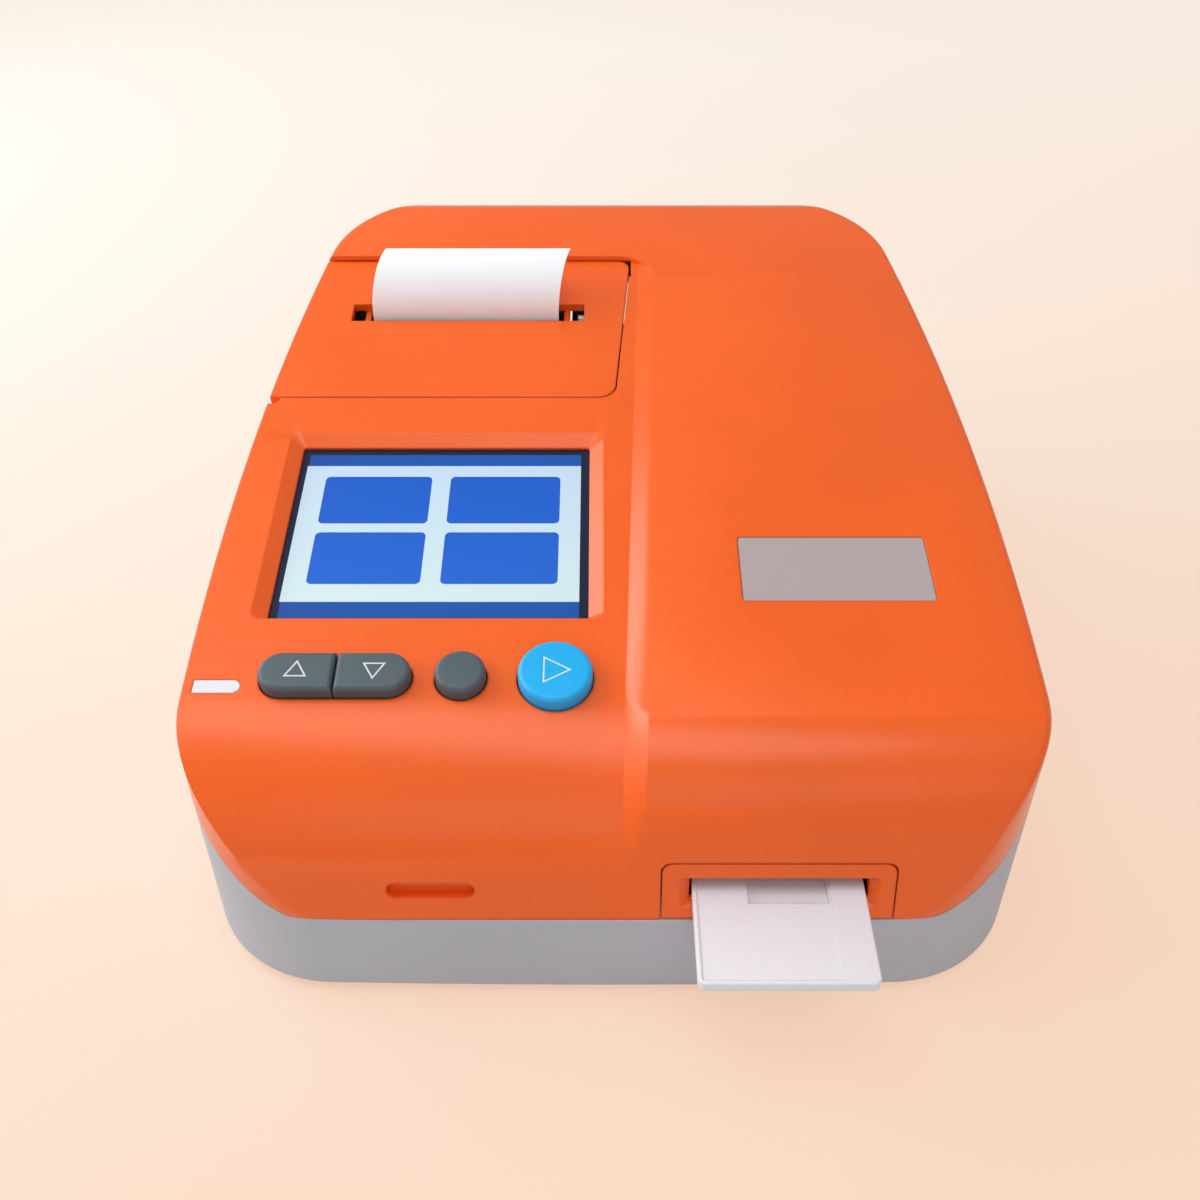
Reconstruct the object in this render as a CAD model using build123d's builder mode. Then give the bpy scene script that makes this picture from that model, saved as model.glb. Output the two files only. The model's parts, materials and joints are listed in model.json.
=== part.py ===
"""Bench-top rapid test reader: a sloping moulded housing with a drawer for the test, a screen,
four keys and a strip printer under a hinged door. Millimetres, +Z up, front towards -Y."""
from build123d import *
from math import cos, hypot, pi, radians, sin, tan
import os

os.makedirs("parts", exist_ok=True)

# ---------------------------------------------------------------- housing, driving dimensions
DEPTH = 241.0               # housing at the parting line, front to back
HALF_FRONT = 100.6          # half width at the front corners
HALF_MIDDLE = 100.9         # half width at mid depth, the sides are gently bowed
HALF_BACK = 86.0            # half width at the back corners
FRONT_CORNER_RADIUS = 33.5
BACK_CORNER_RADIUS = 38.0
FACE_BOW = 1.6              # crown of the front and back walls in plan
DRAFT = 1.5                 # degrees, the walls lean in towards the top
DRAFT_HEIGHT = 50.0         # height at which the plan sizes above are measured
UNDERSIDE = 1.6             # height of the tub's underside over the table
UNDERSIDE_EDGE = 1.5        # rounding of the tub's lower edge
WALL = 2.6                  # side walls and floor
SKIN = 2.6                  # panel and fascia skin
CREASE = 2.0                # rounding between the panel and the side walls

LEFT_HEIGHT = 60.8          # left panel, extended to the front plane
LEFT_SLOPE = 9.5            # degrees
STEP_HEIGHT = 4.2           # right panel over the left one at the front plane
STEP_FADE = 0.0124          # loss of that step per mm towards the back
FASCIA_LEAN = 17.0          # degrees, the front drops with this lean
PARTING_FRONT = 28.6        # height of the parting line at the front
PARTING_SIDE = 11.5         # parting line under the left panel, along the sides
PARTING_RISE = 32.0         # depth over which the parting line climbs round the corner
LEFT_SHOULDER = 41.0        # radius where the left panel rolls into the fascia
RIGHT_SHOULDER = 27.0
BACK_EDGE = 10.0            # radius of the top back edge

RAMP_FOOT_FRONT = 2.9       # X of the ramp's foot at the shoulder
RAMP_FOOT_BACK = 9.2        # and near its back end
RAMP_RUN = 5.4              # width of the ramp in plan
RAMP_DEPTHS = (30.0, 200.0)
RAMP_END_RADIUS = 12.0

# ---------------------------------------------------------------- clearances
SEAM = 0.35                 # visible gap round doors and plates
RUNNING = 0.3               # between pieces that move past each other
SHAFT_PLAY = 0.2            # radial, shafts in their holes
FIT = 0.1                   # between pieces fixed in each other

# ---------------------------------------------------------------- drawer
TRAY_LEFT = 18.4
TRAY_WIDTH = 40.2
TRAY_THICKNESS = 2.6
TRAY_TOP = 36.0
TRAY_OUT = 21.5             # how far it stands out of the front plane as photographed
TRAY_LENGTH = 131.5
TRAY_CORNER = 2.0
POCKET_LENGTH = 70.0
POCKET_WIDTH = 18.6
POCKET_DEPTH = 1.2
POCKET_LEFT = 31.2
POCKET_BACK_OF_FRONT = 21.0
TRAY_TRAVEL_IN = 24.0
TRAY_TRAVEL_OUT = 66.0

BEZEL_LEFT = 11.4
BEZEL_RIGHT = 65.3
BEZEL_HEIGHT = 15.6         # along the fascia
BEZEL_CORNER = 2.5
SLOT_LEFT = 17.8
SLOT_RIGHT = 59.5
SLOT_LOW = 33.0
SLOT_HIGH = 39.2
FUNNEL = 2.4
BEZEL_LAP = 2.0             # flange behind the fascia, past the opening
BEZEL_FLANGE = 1.2

PINION_TEETH = 16
PINION_RADIUS = 6.0
PINION_DEPTH = 34.0
PINION_WIDTH = 3.0

# ---------------------------------------------------------------- printer door and printer
DOOR_FRONT = 141.3          # along the panel from the front plane
DOOR_BACK = 207.6
DOOR_RIGHT_FRONT = 1.6      # X of the door's right edge, it follows the ramp
DOOR_RIGHT_BACK = 7.0
DOOR_FRONT_CORNER = 5.5
DOOR_BACK_CORNER = 3.5
HINGE_DEPTH = 5.0           # hinge axis under the panel
HINGE_SETBACK = 4.0         # hinge axis in front of the door's back edge
HINGE_PIN_RADIUS = 1.0
HINGE_PIN_LENGTH = 9.0

PAPER_WIDTH = 57.0
PAPER_CENTRE = -44.2
PAPER_THICKNESS = 0.25
SLIT_LEFT = -79.4
SLIT_RIGHT = -7.8
SLIT_FRONT = 177.3
SLIT_BACK = 184.9
SLIT_RIM = 5.5              # depth of the slit's back wall
TEAR_BAR_THICKNESS = 0.6
TEAR_BAR_HEIGHT = 2.6
TEETH_ON_TEAR_BAR = 34
PAPER_CURL = 13.6
PAPER_CURL_ANGLE = 106.0
PAPER_LEAN = 3.7            # the strip drifts to the right by this over its curl
PAPER_TAIL = 8.0            # paper inside the slit

PLATEN_RADIUS = 3.2
PLATEN_DEPTH = 6.2          # axis under the panel
SHAFT_RADIUS = 1.5
PLATEN_GEAR_RADIUS = 3.4
FEED_GEAR_RADIUS = 8.0
GEAR_WIDTH = 3.0
ROLL_RADIUS = 22.0
ROLL_DEPTH = 157.0          # roll axis behind the front plane
ROLL_HEIGHT = 50.0
ROLL_CORE_RADIUS = 5.2
SPINDLE_RADIUS = 4.0
CHEEK_THICKNESS = 1.5
CHEEK_LEFT = -78.6
CHEEK_RIGHT = -12.0
EAR_THICKNESS = 1.8
HEAD_THICKNESS = 6.0
HEAD_HEIGHT = 7.6
FEED_MOTOR_RADIUS = 10.0
FEED_MOTOR_LENGTH = 14.0

# ---------------------------------------------------------------- screen
SCREEN_LEFT = -89.7
SCREEN_RIGHT = -2.0
SCREEN_FRONT = 59.5
SCREEN_BACK = 126.5
GLASS_LEFT = -86.0
GLASS_RIGHT = -5.8
GLASS_FRONT = 60.9
GLASS_BACK = 122.6
SCREEN_SINK = 2.2           # depth of the chamfered surround
SCREEN_LIP = 0.8            # upright lip under it
GLASS_LAP = 2.0             # glass under the lip
GLASS_THICKNESS = 1.6
GASKET_THICKNESS = 0.5
MODULE_THICKNESS = 3.4
CARRIER_THICKNESS = 1.4

# ---------------------------------------------------------------- keys
KEY_ROW = 41.1              # along the panel
KEY_PROUD = 3.8
KEY_TRAVEL = 1.0
KEY_EDGE = 1.3
KEY_FLANGE = 1.2
KEY_LAP = 1.0
KEY_STEM_RADIUS = 1.6
PILL_LEFT = -83.8
PILL_RIGHT = -47.7
PILL_WIDTH = 11.0
PILL_SPLIT = -65.6
SELECT_X = -36.0
SELECT_RADIUS = 6.05
START_X = -13.5
START_RADIUS = 8.9
MARK_DEPTH = 0.4
SWITCH_SIZE = 6.0
SWITCH_HEIGHT = 3.4

# ---------------------------------------------------------------- small panel pieces
LIGHT_LEFT = -99.3
LIGHT_RIGHT = -88.2
LIGHT_LENGTH = LIGHT_RIGHT - LIGHT_LEFT
LIGHT_WIDTH = 3.7
LIGHT_ROW = 38.9
LIGHT_DEPTH = 6.0
PLATE_LEFT = 32.5
PLATE_RIGHT = 80.3
PLATE_FRONT = 61.8
PLATE_BACK = 83.1
PLATE_THICKNESS = 0.8
NOTCH_LEFT = -52.4
NOTCH_RIGHT = -31.9
NOTCH_HEIGHT = 4.2
NOTCH_UP = 8.3              # its middle, up the fascia
NOTCH_DEPTH = 2.4
NOTCH_BACKING = 2.0

# ---------------------------------------------------------------- inside and underside
CHASSIS_HEIGHT = 12.0
CHASSIS_THICKNESS = 1.5
BOARD_THICKNESS = 1.6
BOARD_HEIGHT = 18.5
POST_RADIUS = 3.0
FOOT_RADIUS = 7.0
FOOT_SINK = 0.9
CASE_SCREW_RADIUS = 1.5
CASE_BOSS_RADIUS = 4.5
CASE_BOSS_HEIGHT = 30.0
CASE_SCREW_SINK = 8.0       # depth of the screw heads in the underside
CASE_SCREW_PLACES = ((-88.0, 24.0), (88.0, 24.0), (-72.0, 213.5), (72.0, 213.5))
FOOT_PLACES = ((-70.0, 22.0), (70.0, 22.0), (-57.0, 219.0), (57.0, 219.0))
CHASSIS_HALF = 70.0
CHASSIS_DEPTHS = (12.0, 221.0)
CHASSIS_POSTS = ((-66.0, 30.0), (-66.0, 120.0), (-60.0, 214.0), (0.0, 52.0), (4.0, 216.0),
                 (66.0, 40.0), (66.0, 140.0), (60.0, 214.0))

REAR_PANEL_HALF = 60.0
REAR_PANEL_LOW = 12.0
REAR_PANEL_HIGH = 42.0
REAR_PANEL_FACE = 239.0     # flat connector panel, behind the front plane
REAR_PANEL_THICKNESS = 3.0
INLET_X = -46.0
SERIAL_X = -22.0
USB_X = 6.0
SWITCH_X = 42.0
PORT_HEIGHT = 27.0
ROCKER_ANGLE = 14.0

SMALL_SCREW = 1.25          # shank radius of the small screws
SPEAKER_PLACE = (36.0, 186.0)
SPEAKER_RADIUS = 14.0
OPTICS_FRONT = 62.0
OPTICS_BACK = 112.0
OPTICS_LOW = 41.0
OPTICS_HIGH = 61.0
LENS_RADIUS = 5.0

# ---------------------------------------------------------------- values that follow
LEFT_TAN = tan(radians(LEFT_SLOPE))
RIGHT_TAN = LEFT_TAN - STEP_FADE
RIGHT_HEIGHT = LEFT_HEIGHT + STEP_HEIGHT
LEAN_TAN = tan(radians(FASCIA_LEAN))
LEAN_COS = cos(radians(FASCIA_LEAN))
REACH = 130.0               # half width of cutting bodies
BODY_TOP = LEFT_HEIGHT + DEPTH * LEFT_TAN + 20.0


def growth(z, inset=0.0):
    """How far the plan outline stands outside its size at DRAFT_HEIGHT."""
    return (DRAFT_HEIGHT - z) * tan(radians(DRAFT)) - inset


# The box round the housing and the drawn-out tray is centred on the origin.
FRONT = -(DEPTH + growth(UNDERSIDE + UNDERSIDE_EDGE) - TRAY_OUT) / 2


def left_z(depth):
    return LEFT_HEIGHT + depth * LEFT_TAN


def right_z(depth):
    return RIGHT_HEIGHT + depth * RIGHT_TAN


def sloped(height, slope_tan):
    """Panel plane: X to the right, Y up the slope, Z outwards, from the front plane."""
    norm = hypot(1.0, slope_tan)
    return Plane(origin=(0, FRONT, height), x_dir=(1, 0, 0), z_dir=(0, -slope_tan / norm, 1 / norm))


LEFT_PANEL = sloped(LEFT_HEIGHT, LEFT_TAN)
RIGHT_PANEL = sloped(RIGHT_HEIGHT, RIGHT_TAN)
FASCIA = Plane(origin=(0, FRONT, PARTING_FRONT), x_dir=(1, 0, 0),
               z_dir=(0, -LEAN_COS, LEAN_COS * LEAN_TAN))


def outline(z, inset=0.0):
    """Plan of the housing at a height, moved inwards by inset."""
    grow = growth(z, inset)
    front, back = FRONT - grow, FRONT + DEPTH + grow
    corner_f, corner_b = HALF_FRONT + grow, HALF_BACK + grow
    with BuildSketch(Plane.XY.offset(z)) as plan:
        with BuildLine():
            ThreePointArc((0, front), (corner_f / 2, front + FACE_BOW / 4), (corner_f, front + FACE_BOW))
            ThreePointArc((corner_f, front + FACE_BOW), (HALF_MIDDLE + grow, FRONT + DEPTH * 0.49),
                          (corner_b, back - FACE_BOW))
            ThreePointArc((corner_b, back - FACE_BOW), (corner_b / 2, back - FACE_BOW / 4), (0, back))
            mirror(about=Plane.YZ)
        make_face()
        corners = plan.vertices().filter_by(lambda v: abs(v.X) > HALF_BACK / 2)
        fillet(corners.filter_by(lambda v: v.Y < 0), FRONT_CORNER_RADIUS + grow)
        corners = plan.vertices().filter_by(lambda v: abs(v.X) > HALF_BACK / 2)
        fillet(corners.filter_by(lambda v: v.Y > FRONT + DEPTH * 0.9), BACK_CORNER_RADIUS + grow)
    return plan.sketch


def wrap_corner(height, slope_tan, skin):
    """Where the fascia and a panel would meet, both moved inwards by skin: depth and height."""
    start = skin / LEAN_COS
    top = height - skin * hypot(1.0, slope_tan)
    z = (top + slope_tan * (start - PARTING_FRONT * LEAN_TAN)) / (1 - slope_tan * LEAN_TAN)
    return start + (z - PARTING_FRONT) * LEAN_TAN, z


def nearest(vertices, y, z):
    """The corner of a side view nearest to a place; a sketch's own axes there are Y and Z."""
    return vertices.sort_by(lambda v: hypot(v.X - y, v.Y - z))[0:1]


def wrap_profile(height, slope_tan, radius, skin=0.0, above=False, x=0.0):
    """Side view of all that lies under, or above, the wrapped top surface."""
    knee, knee_z = wrap_corner(height, slope_tan, skin)
    start = skin / LEAN_COS - skin * LEAN_TAN
    base = PARTING_FRONT - skin
    back = DEPTH + 1.5 - skin
    back_z = height - skin * hypot(1.0, slope_tan) + slope_tan * back
    with BuildSketch(Plane.YZ.offset(x)) as side:
        with BuildLine():
            if above:
                far = DEPTH + 60
                far_z = back_z + slope_tan * (far - back)
                Polyline((FRONT - 60, base), (FRONT + start, base), (FRONT + knee, knee_z),
                         (FRONT + far, far_z), (FRONT + far, 260), (FRONT - 60, 260), close=True)
            else:
                Polyline((FRONT - 40, -20), (FRONT - 40, base), (FRONT + start, base),
                         (FRONT + knee, knee_z), (FRONT + back, back_z), (FRONT + back, -20), close=True)
        make_face()
        fillet(nearest(side.vertices(), FRONT + knee, knee_z), radius)
        if not above:
            fillet(nearest(side.vertices(), FRONT + back, back_z), BACK_EDGE - skin)
    return side.sketch


def under_parting():
    """Side view of all that lies under the parting line."""
    far = DEPTH + 40
    with BuildSketch(Plane.YZ) as side:
        with BuildLine():
            Polyline((FRONT + far, left_z(far) - PARTING_SIDE), (FRONT + far, -20), (FRONT - 40, -20),
                     (FRONT - 40, PARTING_FRONT), (FRONT + 1, PARTING_FRONT))
            ThreePointArc((FRONT + 1, PARTING_FRONT), (FRONT + 13, 42.5),
                          (FRONT + PARTING_RISE, left_z(PARTING_RISE) - PARTING_SIDE))
            Line((FRONT + PARTING_RISE, left_z(PARTING_RISE) - PARTING_SIDE),
                 (FRONT + far, left_z(far) - PARTING_SIDE))
        make_face()
    return side.sketch


def box_between(x0, x1, d0, d1, z0, z1):
    """Box in the open part, given by X, depth behind the front plane and height."""
    with Locations(((x0 + x1) / 2, FRONT + (d0 + d1) / 2, (z0 + z1) / 2)):
        Box(x1 - x0, d1 - d0, z1 - z0)


def cut_between(x0, x1, d0, d1, z0, z1):
    """The same box, taken away."""
    with Locations(((x0 + x1) / 2, FRONT + (d0 + d1) / 2, (z0 + z1) / 2)):
        Box(x1 - x0, d1 - d0, z1 - z0, mode=Mode.SUBTRACT)


# ---------------------------------------------------------------- housing body, before it is divided
with BuildPart() as housing:
    loft(sections=[outline(UNDERSIDE, UNDERSIDE_EDGE), outline(UNDERSIDE + UNDERSIDE_EDGE), outline(BODY_TOP)],
         ruled=True)
    extrude(wrap_profile(RIGHT_HEIGHT, RIGHT_TAN, RIGHT_SHOULDER), amount=REACH, both=True,
            mode=Mode.INTERSECT)
    crease = housing.edges().filter_by(lambda e: abs((e @ 0.5).X) > 45 and (e @ 0.5).Z > 60)
    fillet(crease, CREASE)

# Hollow that the left panel sinks into. It ends in a ramp beside the right panel, which follows both
# panels over the shoulder and fades out on the fascia.
RAMP_SKEW = (RAMP_FOOT_BACK - RAMP_FOOT_FRONT) / (RAMP_DEPTHS[1] - RAMP_DEPTHS[0])
RAMP_FOOT = Plane(origin=(RAMP_FOOT_FRONT, FRONT + RAMP_DEPTHS[0], 0), x_dir=(RAMP_SKEW, 1, 0),
                  z_dir=(1, -RAMP_SKEW, 0))
RAMP_TOP = RAMP_FOOT.offset(RAMP_RUN)
RECESS_END = LEFT_PANEL.from_local_coords((0, DOOR_BACK, 0))
with BuildPart() as above_left:
    extrude(wrap_profile(LEFT_HEIGHT, LEFT_TAN, LEFT_SHOULDER, above=True, x=-REACH), amount=2 * REACH)
with BuildPart() as above_right:
    extrude(wrap_profile(RIGHT_HEIGHT, RIGHT_TAN, RIGHT_SHOULDER, above=True, x=-REACH), amount=2 * REACH)
with BuildPart() as left_recess:
    add(above_left.part)
    split(bisect_by=RAMP_FOOT, keep=Keep.BOTTOM)
    loft(sections=[section(above_left.part, section_by=RAMP_FOOT, mode=Mode.PRIVATE).face(),
                   section(above_right.part, section_by=RAMP_TOP, mode=Mode.PRIVATE).face()], ruled=True)
    split(bisect_by=Plane(origin=RECESS_END, z_dir=(0, 1, 0)), keep=Keep.BOTTOM)
    corner = left_recess.edges().filter_by(lambda e: abs((e @ 0.5).Y - RECESS_END.Y) < 0.5).sort_by(
        lambda e: -(e @ 0.5).X)[0]
    fillet(corner, RAMP_END_RADIUS)

with BuildPart() as body:
    add(housing.part)
    add(left_recess.part, mode=Mode.SUBTRACT)

RAMP_CLEAR = RAMP_FOOT_BACK + RAMP_RUN + 4.0
with BuildPart() as hollow:
    loft(sections=[outline(UNDERSIDE + WALL, WALL), outline(BODY_TOP, WALL)], ruled=True)
    extrude(wrap_profile(RIGHT_HEIGHT, RIGHT_TAN, RIGHT_SHOULDER - SKIN, SKIN), amount=REACH, both=True,
            mode=Mode.INTERSECT)
    extrude(wrap_profile(LEFT_HEIGHT, LEFT_TAN, LEFT_SHOULDER - SKIN, SKIN, above=True, x=-REACH),
            amount=REACH + RAMP_CLEAR, mode=Mode.SUBTRACT)


# ---------------------------------------------------------------- shared places
HINGE_V = DOOR_BACK - HINGE_SETBACK          # hinge axis along the panel
DOOR_EDGE = DOOR_BACK - SEAM
KNUCKLE_RADIUS = hypot(DOOR_EDGE - HINGE_V, HINGE_DEPTH)
PLATEN_V = SLIT_FRONT + 0.9 + PAPER_THICKNESS + 0.2 + PLATEN_RADIUS
PAPER_V = SLIT_FRONT + 0.9
HEAD_EDGE = PAPER_V - RUNNING
FEED_GEAR_DEPTH = PLATEN_DEPTH + PLATEN_GEAR_RADIUS + FEED_GEAR_RADIUS + RUNNING
EAR_LEFT = PAPER_CENTRE - PAPER_WIDTH / 2 - 1.6
EAR_RIGHT = PAPER_CENTRE + PAPER_WIDTH / 2 + 1.6
GEAR_X = CHEEK_RIGHT + CHEEK_THICKNESS + 0.8
LUG_X = CHEEK_RIGHT + CHEEK_THICKNESS + 0.4
LUG_WIDTH = 4.0
LUG_RADIUS = HINGE_PIN_RADIUS + 1.3
FINGER_RADIUS = HINGE_PIN_RADIUS + 1.0
KNUCKLE_HOLE_END = -HALF_BACK - 6.0
SPLIT_GAP = SEAM
GLASS_TOP = SCREEN_SINK + SCREEN_LIP
GLASS_UNDER = GLASS_TOP + GLASS_THICKNESS
MODULE_TOP = GLASS_UNDER + GASKET_THICKNESS
CARRIER_TOP = MODULE_TOP + MODULE_THICKNESS
FLANGE_TOP = SKIN + RUNNING
STEM_END = FLANGE_TOP + KEY_FLANGE + 2.6
SWITCH_TOP = STEM_END + KEY_TRAVEL + 0.2
KEY_BOARD_TOP = SWITCH_TOP + SWITCH_HEIGHT
KEY_BOARD = (-88.0, -2.0, 29.0, 53.5)        # left, right, front, back along the panel
KEY_POSTS = [(x, y) for x in (KEY_BOARD[0] + 3.5, -26.0) for y in (KEY_BOARD[2] + 2.0, KEY_BOARD[3] - 2.0)]


def v_point(x, v, w):
    """Point on the left panel's axes as a place in the model."""
    return LEFT_PANEL.from_local_coords((x, v, w))


def across(x, v, w):
    """Plane square to X at a place given on the left panel's axes; its Y runs outwards."""
    return Plane(origin=v_point(x, v, w), x_dir=LEFT_PANEL.y_dir, z_dir=(1, 0, 0))


def door_outline(gap=0.0):
    """Printer door in the panel's plane; it runs off the left side of the housing."""
    with BuildSketch(LEFT_PANEL) as shape:
        with BuildLine():
            Polyline((-REACH, DOOR_FRONT + gap), (DOOR_RIGHT_FRONT - gap, DOOR_FRONT + gap),
                     (DOOR_RIGHT_BACK - gap, DOOR_BACK - gap), (-REACH, DOOR_BACK - gap), close=True)
        make_face()
        right = shape.vertices().filter_by(lambda v: v.X > 0)
        fillet(right.sort_by(Axis.Y)[0], DOOR_FRONT_CORNER)
        right = shape.vertices().filter_by(lambda v: v.X > 0)
        fillet(right.sort_by(Axis.Y)[-1], DOOR_BACK_CORNER)
    return shape.sketch


def pill_half(gap, left):
    """Half of the long key's outline, cut at its split line."""
    middle = (PILL_LEFT + PILL_RIGHT) / 2
    with BuildSketch(LEFT_PANEL) as half:
        with Locations((middle, KEY_ROW)):
            SlotOverall(PILL_RIGHT - PILL_LEFT - 2 * gap, PILL_WIDTH - 2 * gap)
        far = REACH
        low, high = (-far, PILL_SPLIT - SPLIT_GAP / 2) if left else (PILL_SPLIT + SPLIT_GAP / 2, far)
        with Locations(((low + high) / 2, KEY_ROW)):
            Rectangle(high - low, PILL_WIDTH * 2, mode=Mode.INTERSECT)
    return half.sketch


def round_outline(plane, x, v, radius):
    with BuildSketch(plane) as ring:
        with Locations((x, v)):
            Circle(radius)
    return ring.sketch


def light_outline(gap):
    """Status light: a bar with its right end round and its left end square on the crease."""
    with BuildSketch(LEFT_PANEL) as bar:
        with Locations((LIGHT_RIGHT + gap - LIGHT_LENGTH, LIGHT_ROW)):
            SlotOverall(2 * LIGHT_LENGTH, LIGHT_WIDTH + 2 * gap)
        with Locations((LIGHT_LEFT - gap + LIGHT_LENGTH, LIGHT_ROW)):
            Rectangle(2 * LIGHT_LENGTH, 2 * LIGHT_WIDTH, mode=Mode.INTERSECT)
    return bar.sketch


def block(plane, x0, x1, y0, y1, radius=0.0):
    """Rectangle on a plane given by its sides, with rounded corners where asked."""
    with BuildSketch(plane) as rect:
        with Locations(((x0 + x1) / 2, (y0 + y1) / 2)):
            if radius > 0:
                RectangleRounded(x1 - x0, y1 - y0, radius)
            else:
                Rectangle(x1 - x0, y1 - y0)
    return rect.sketch


# ---------------------------------------------------------------- top cover
with BuildPart() as top_cover:
    add(body.part)
    extrude(under_parting(), amount=REACH, both=True, mode=Mode.SUBTRACT)
    add(hollow.part, mode=Mode.SUBTRACT)
    # thick frame round the screen, posts for the key board, backing of the finger notch
    extrude(block(LEFT_PANEL.offset(-SKIN + 0.2), SCREEN_LEFT - 1, SCREEN_RIGHT + 1, SCREEN_FRONT - 1,
                  SCREEN_BACK + 1), amount=-(GLASS_UNDER - SKIN + 0.2))
    for post in KEY_POSTS:
        extrude(round_outline(LEFT_PANEL.offset(-SKIN + 0.2), *post, POST_RADIUS),
                amount=-(KEY_BOARD_TOP - SKIN + 0.2))
    extrude(block(FASCIA.offset(-SKIN + 0.2), NOTCH_LEFT - 2, NOTCH_RIGHT + 2, NOTCH_UP - NOTCH_HEIGHT / 2 - 1.5,
                  NOTCH_UP + NOTCH_HEIGHT / 2 + 1.5), amount=-NOTCH_BACKING)
    extrude(under_parting(), amount=REACH, both=True, mode=Mode.SUBTRACT)
    # bosses that the case screws bite into
    for x, depth in CASE_SCREW_PLACES:
        extrude(round_outline(Plane.XY.offset(CASE_BOSS_HEIGHT), x, FRONT + depth, CASE_BOSS_RADIUS),
                amount=right_z(depth) - CASE_BOSS_HEIGHT)
    add(body.part, mode=Mode.INTERSECT)
    for x, depth in CASE_SCREW_PLACES:
        extrude(round_outline(Plane.XY.offset(CASE_BOSS_HEIGHT), x, FRONT + depth, CASE_SCREW_RADIUS + FIT),
                amount=16, mode=Mode.SUBTRACT)
    # screen surround: chamfered sides, a short upright lip, a pocket for the glass from below
    loft(sections=[block(LEFT_PANEL.offset(0.01), SCREEN_LEFT, SCREEN_RIGHT, SCREEN_FRONT, SCREEN_BACK, 2.6),
                   block(LEFT_PANEL.offset(-SCREEN_SINK), GLASS_LEFT, GLASS_RIGHT, GLASS_FRONT, GLASS_BACK, 0.8)],
         ruled=True, mode=Mode.SUBTRACT)
    extrude(block(LEFT_PANEL.offset(-SCREEN_SINK + 0.05), GLASS_LEFT, GLASS_RIGHT, GLASS_FRONT, GLASS_BACK, 0.8),
            amount=-SCREEN_LIP - 1.0, mode=Mode.SUBTRACT)
    extrude(block(LEFT_PANEL.offset(-GLASS_TOP), GLASS_LEFT - GLASS_LAP - FIT, GLASS_RIGHT + GLASS_LAP + FIT,
                  GLASS_FRONT - GLASS_LAP - FIT, GLASS_BACK + GLASS_LAP + FIT), amount=-12, mode=Mode.SUBTRACT)
    # printer door opening, with room for the turning knuckle
    extrude(door_outline(), amount=PARTING_SIDE + 2.5, both=True, mode=Mode.SUBTRACT)
    with BuildSketch(across(-REACH, HINGE_V, -HINGE_DEPTH)):
        Circle(KNUCKLE_RADIUS + RUNNING - 0.05)
    extrude(amount=REACH + DOOR_RIGHT_BACK, mode=Mode.SUBTRACT)
    # keys
    with BuildSketch(LEFT_PANEL):
        with Locations(((PILL_LEFT + PILL_RIGHT) / 2, KEY_ROW)):
            SlotOverall(PILL_RIGHT - PILL_LEFT + 2 * SEAM, PILL_WIDTH + 2 * SEAM)
        with Locations((SELECT_X, KEY_ROW)):
            Circle(SELECT_RADIUS + SEAM)
        with Locations((START_X, KEY_ROW)):
            Circle(START_RADIUS + SEAM)
    extrude(amount=SKIN + 3, both=True, mode=Mode.SUBTRACT)
    # status light, rating plate recess, finger notch
    extrude(light_outline(FIT), amount=LIGHT_DEPTH, both=True, mode=Mode.SUBTRACT)
    extrude(block(RIGHT_PANEL.offset(-PLATE_THICKNESS), PLATE_LEFT - FIT, PLATE_RIGHT + FIT, PLATE_FRONT - FIT,
                  PLATE_BACK + FIT, 1.0), amount=5, mode=Mode.SUBTRACT)
    with BuildSketch(FASCIA.offset(4)):
        with Locations(((NOTCH_LEFT + NOTCH_RIGHT) / 2, NOTCH_UP)):
            SlotOverall(NOTCH_RIGHT - NOTCH_LEFT, NOTCH_HEIGHT)
    extrude(amount=-4 - NOTCH_DEPTH, mode=Mode.SUBTRACT)
    # drawer bezel opening
    extrude(block(FASCIA.offset(6), BEZEL_LEFT - SEAM, BEZEL_RIGHT + SEAM, -6, BEZEL_HEIGHT + SEAM, BEZEL_CORNER),
            amount=-6 - SKIN - BEZEL_FLANGE, mode=Mode.SUBTRACT)
    extrude(block(FASCIA.offset(-SKIN), BEZEL_LEFT - BEZEL_LAP - FIT, BEZEL_RIGHT + BEZEL_LAP + FIT, 0,
                  BEZEL_HEIGHT + BEZEL_LAP + FIT), amount=-BEZEL_FLANGE - FIT, mode=Mode.SUBTRACT)
    # small finger notch at the printer door's front left corner
    with Locations(v_point(-HALF_MIDDLE + 3.0, DOOR_FRONT, -0.5)):
        Sphere(2.6, mode=Mode.SUBTRACT)

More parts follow.
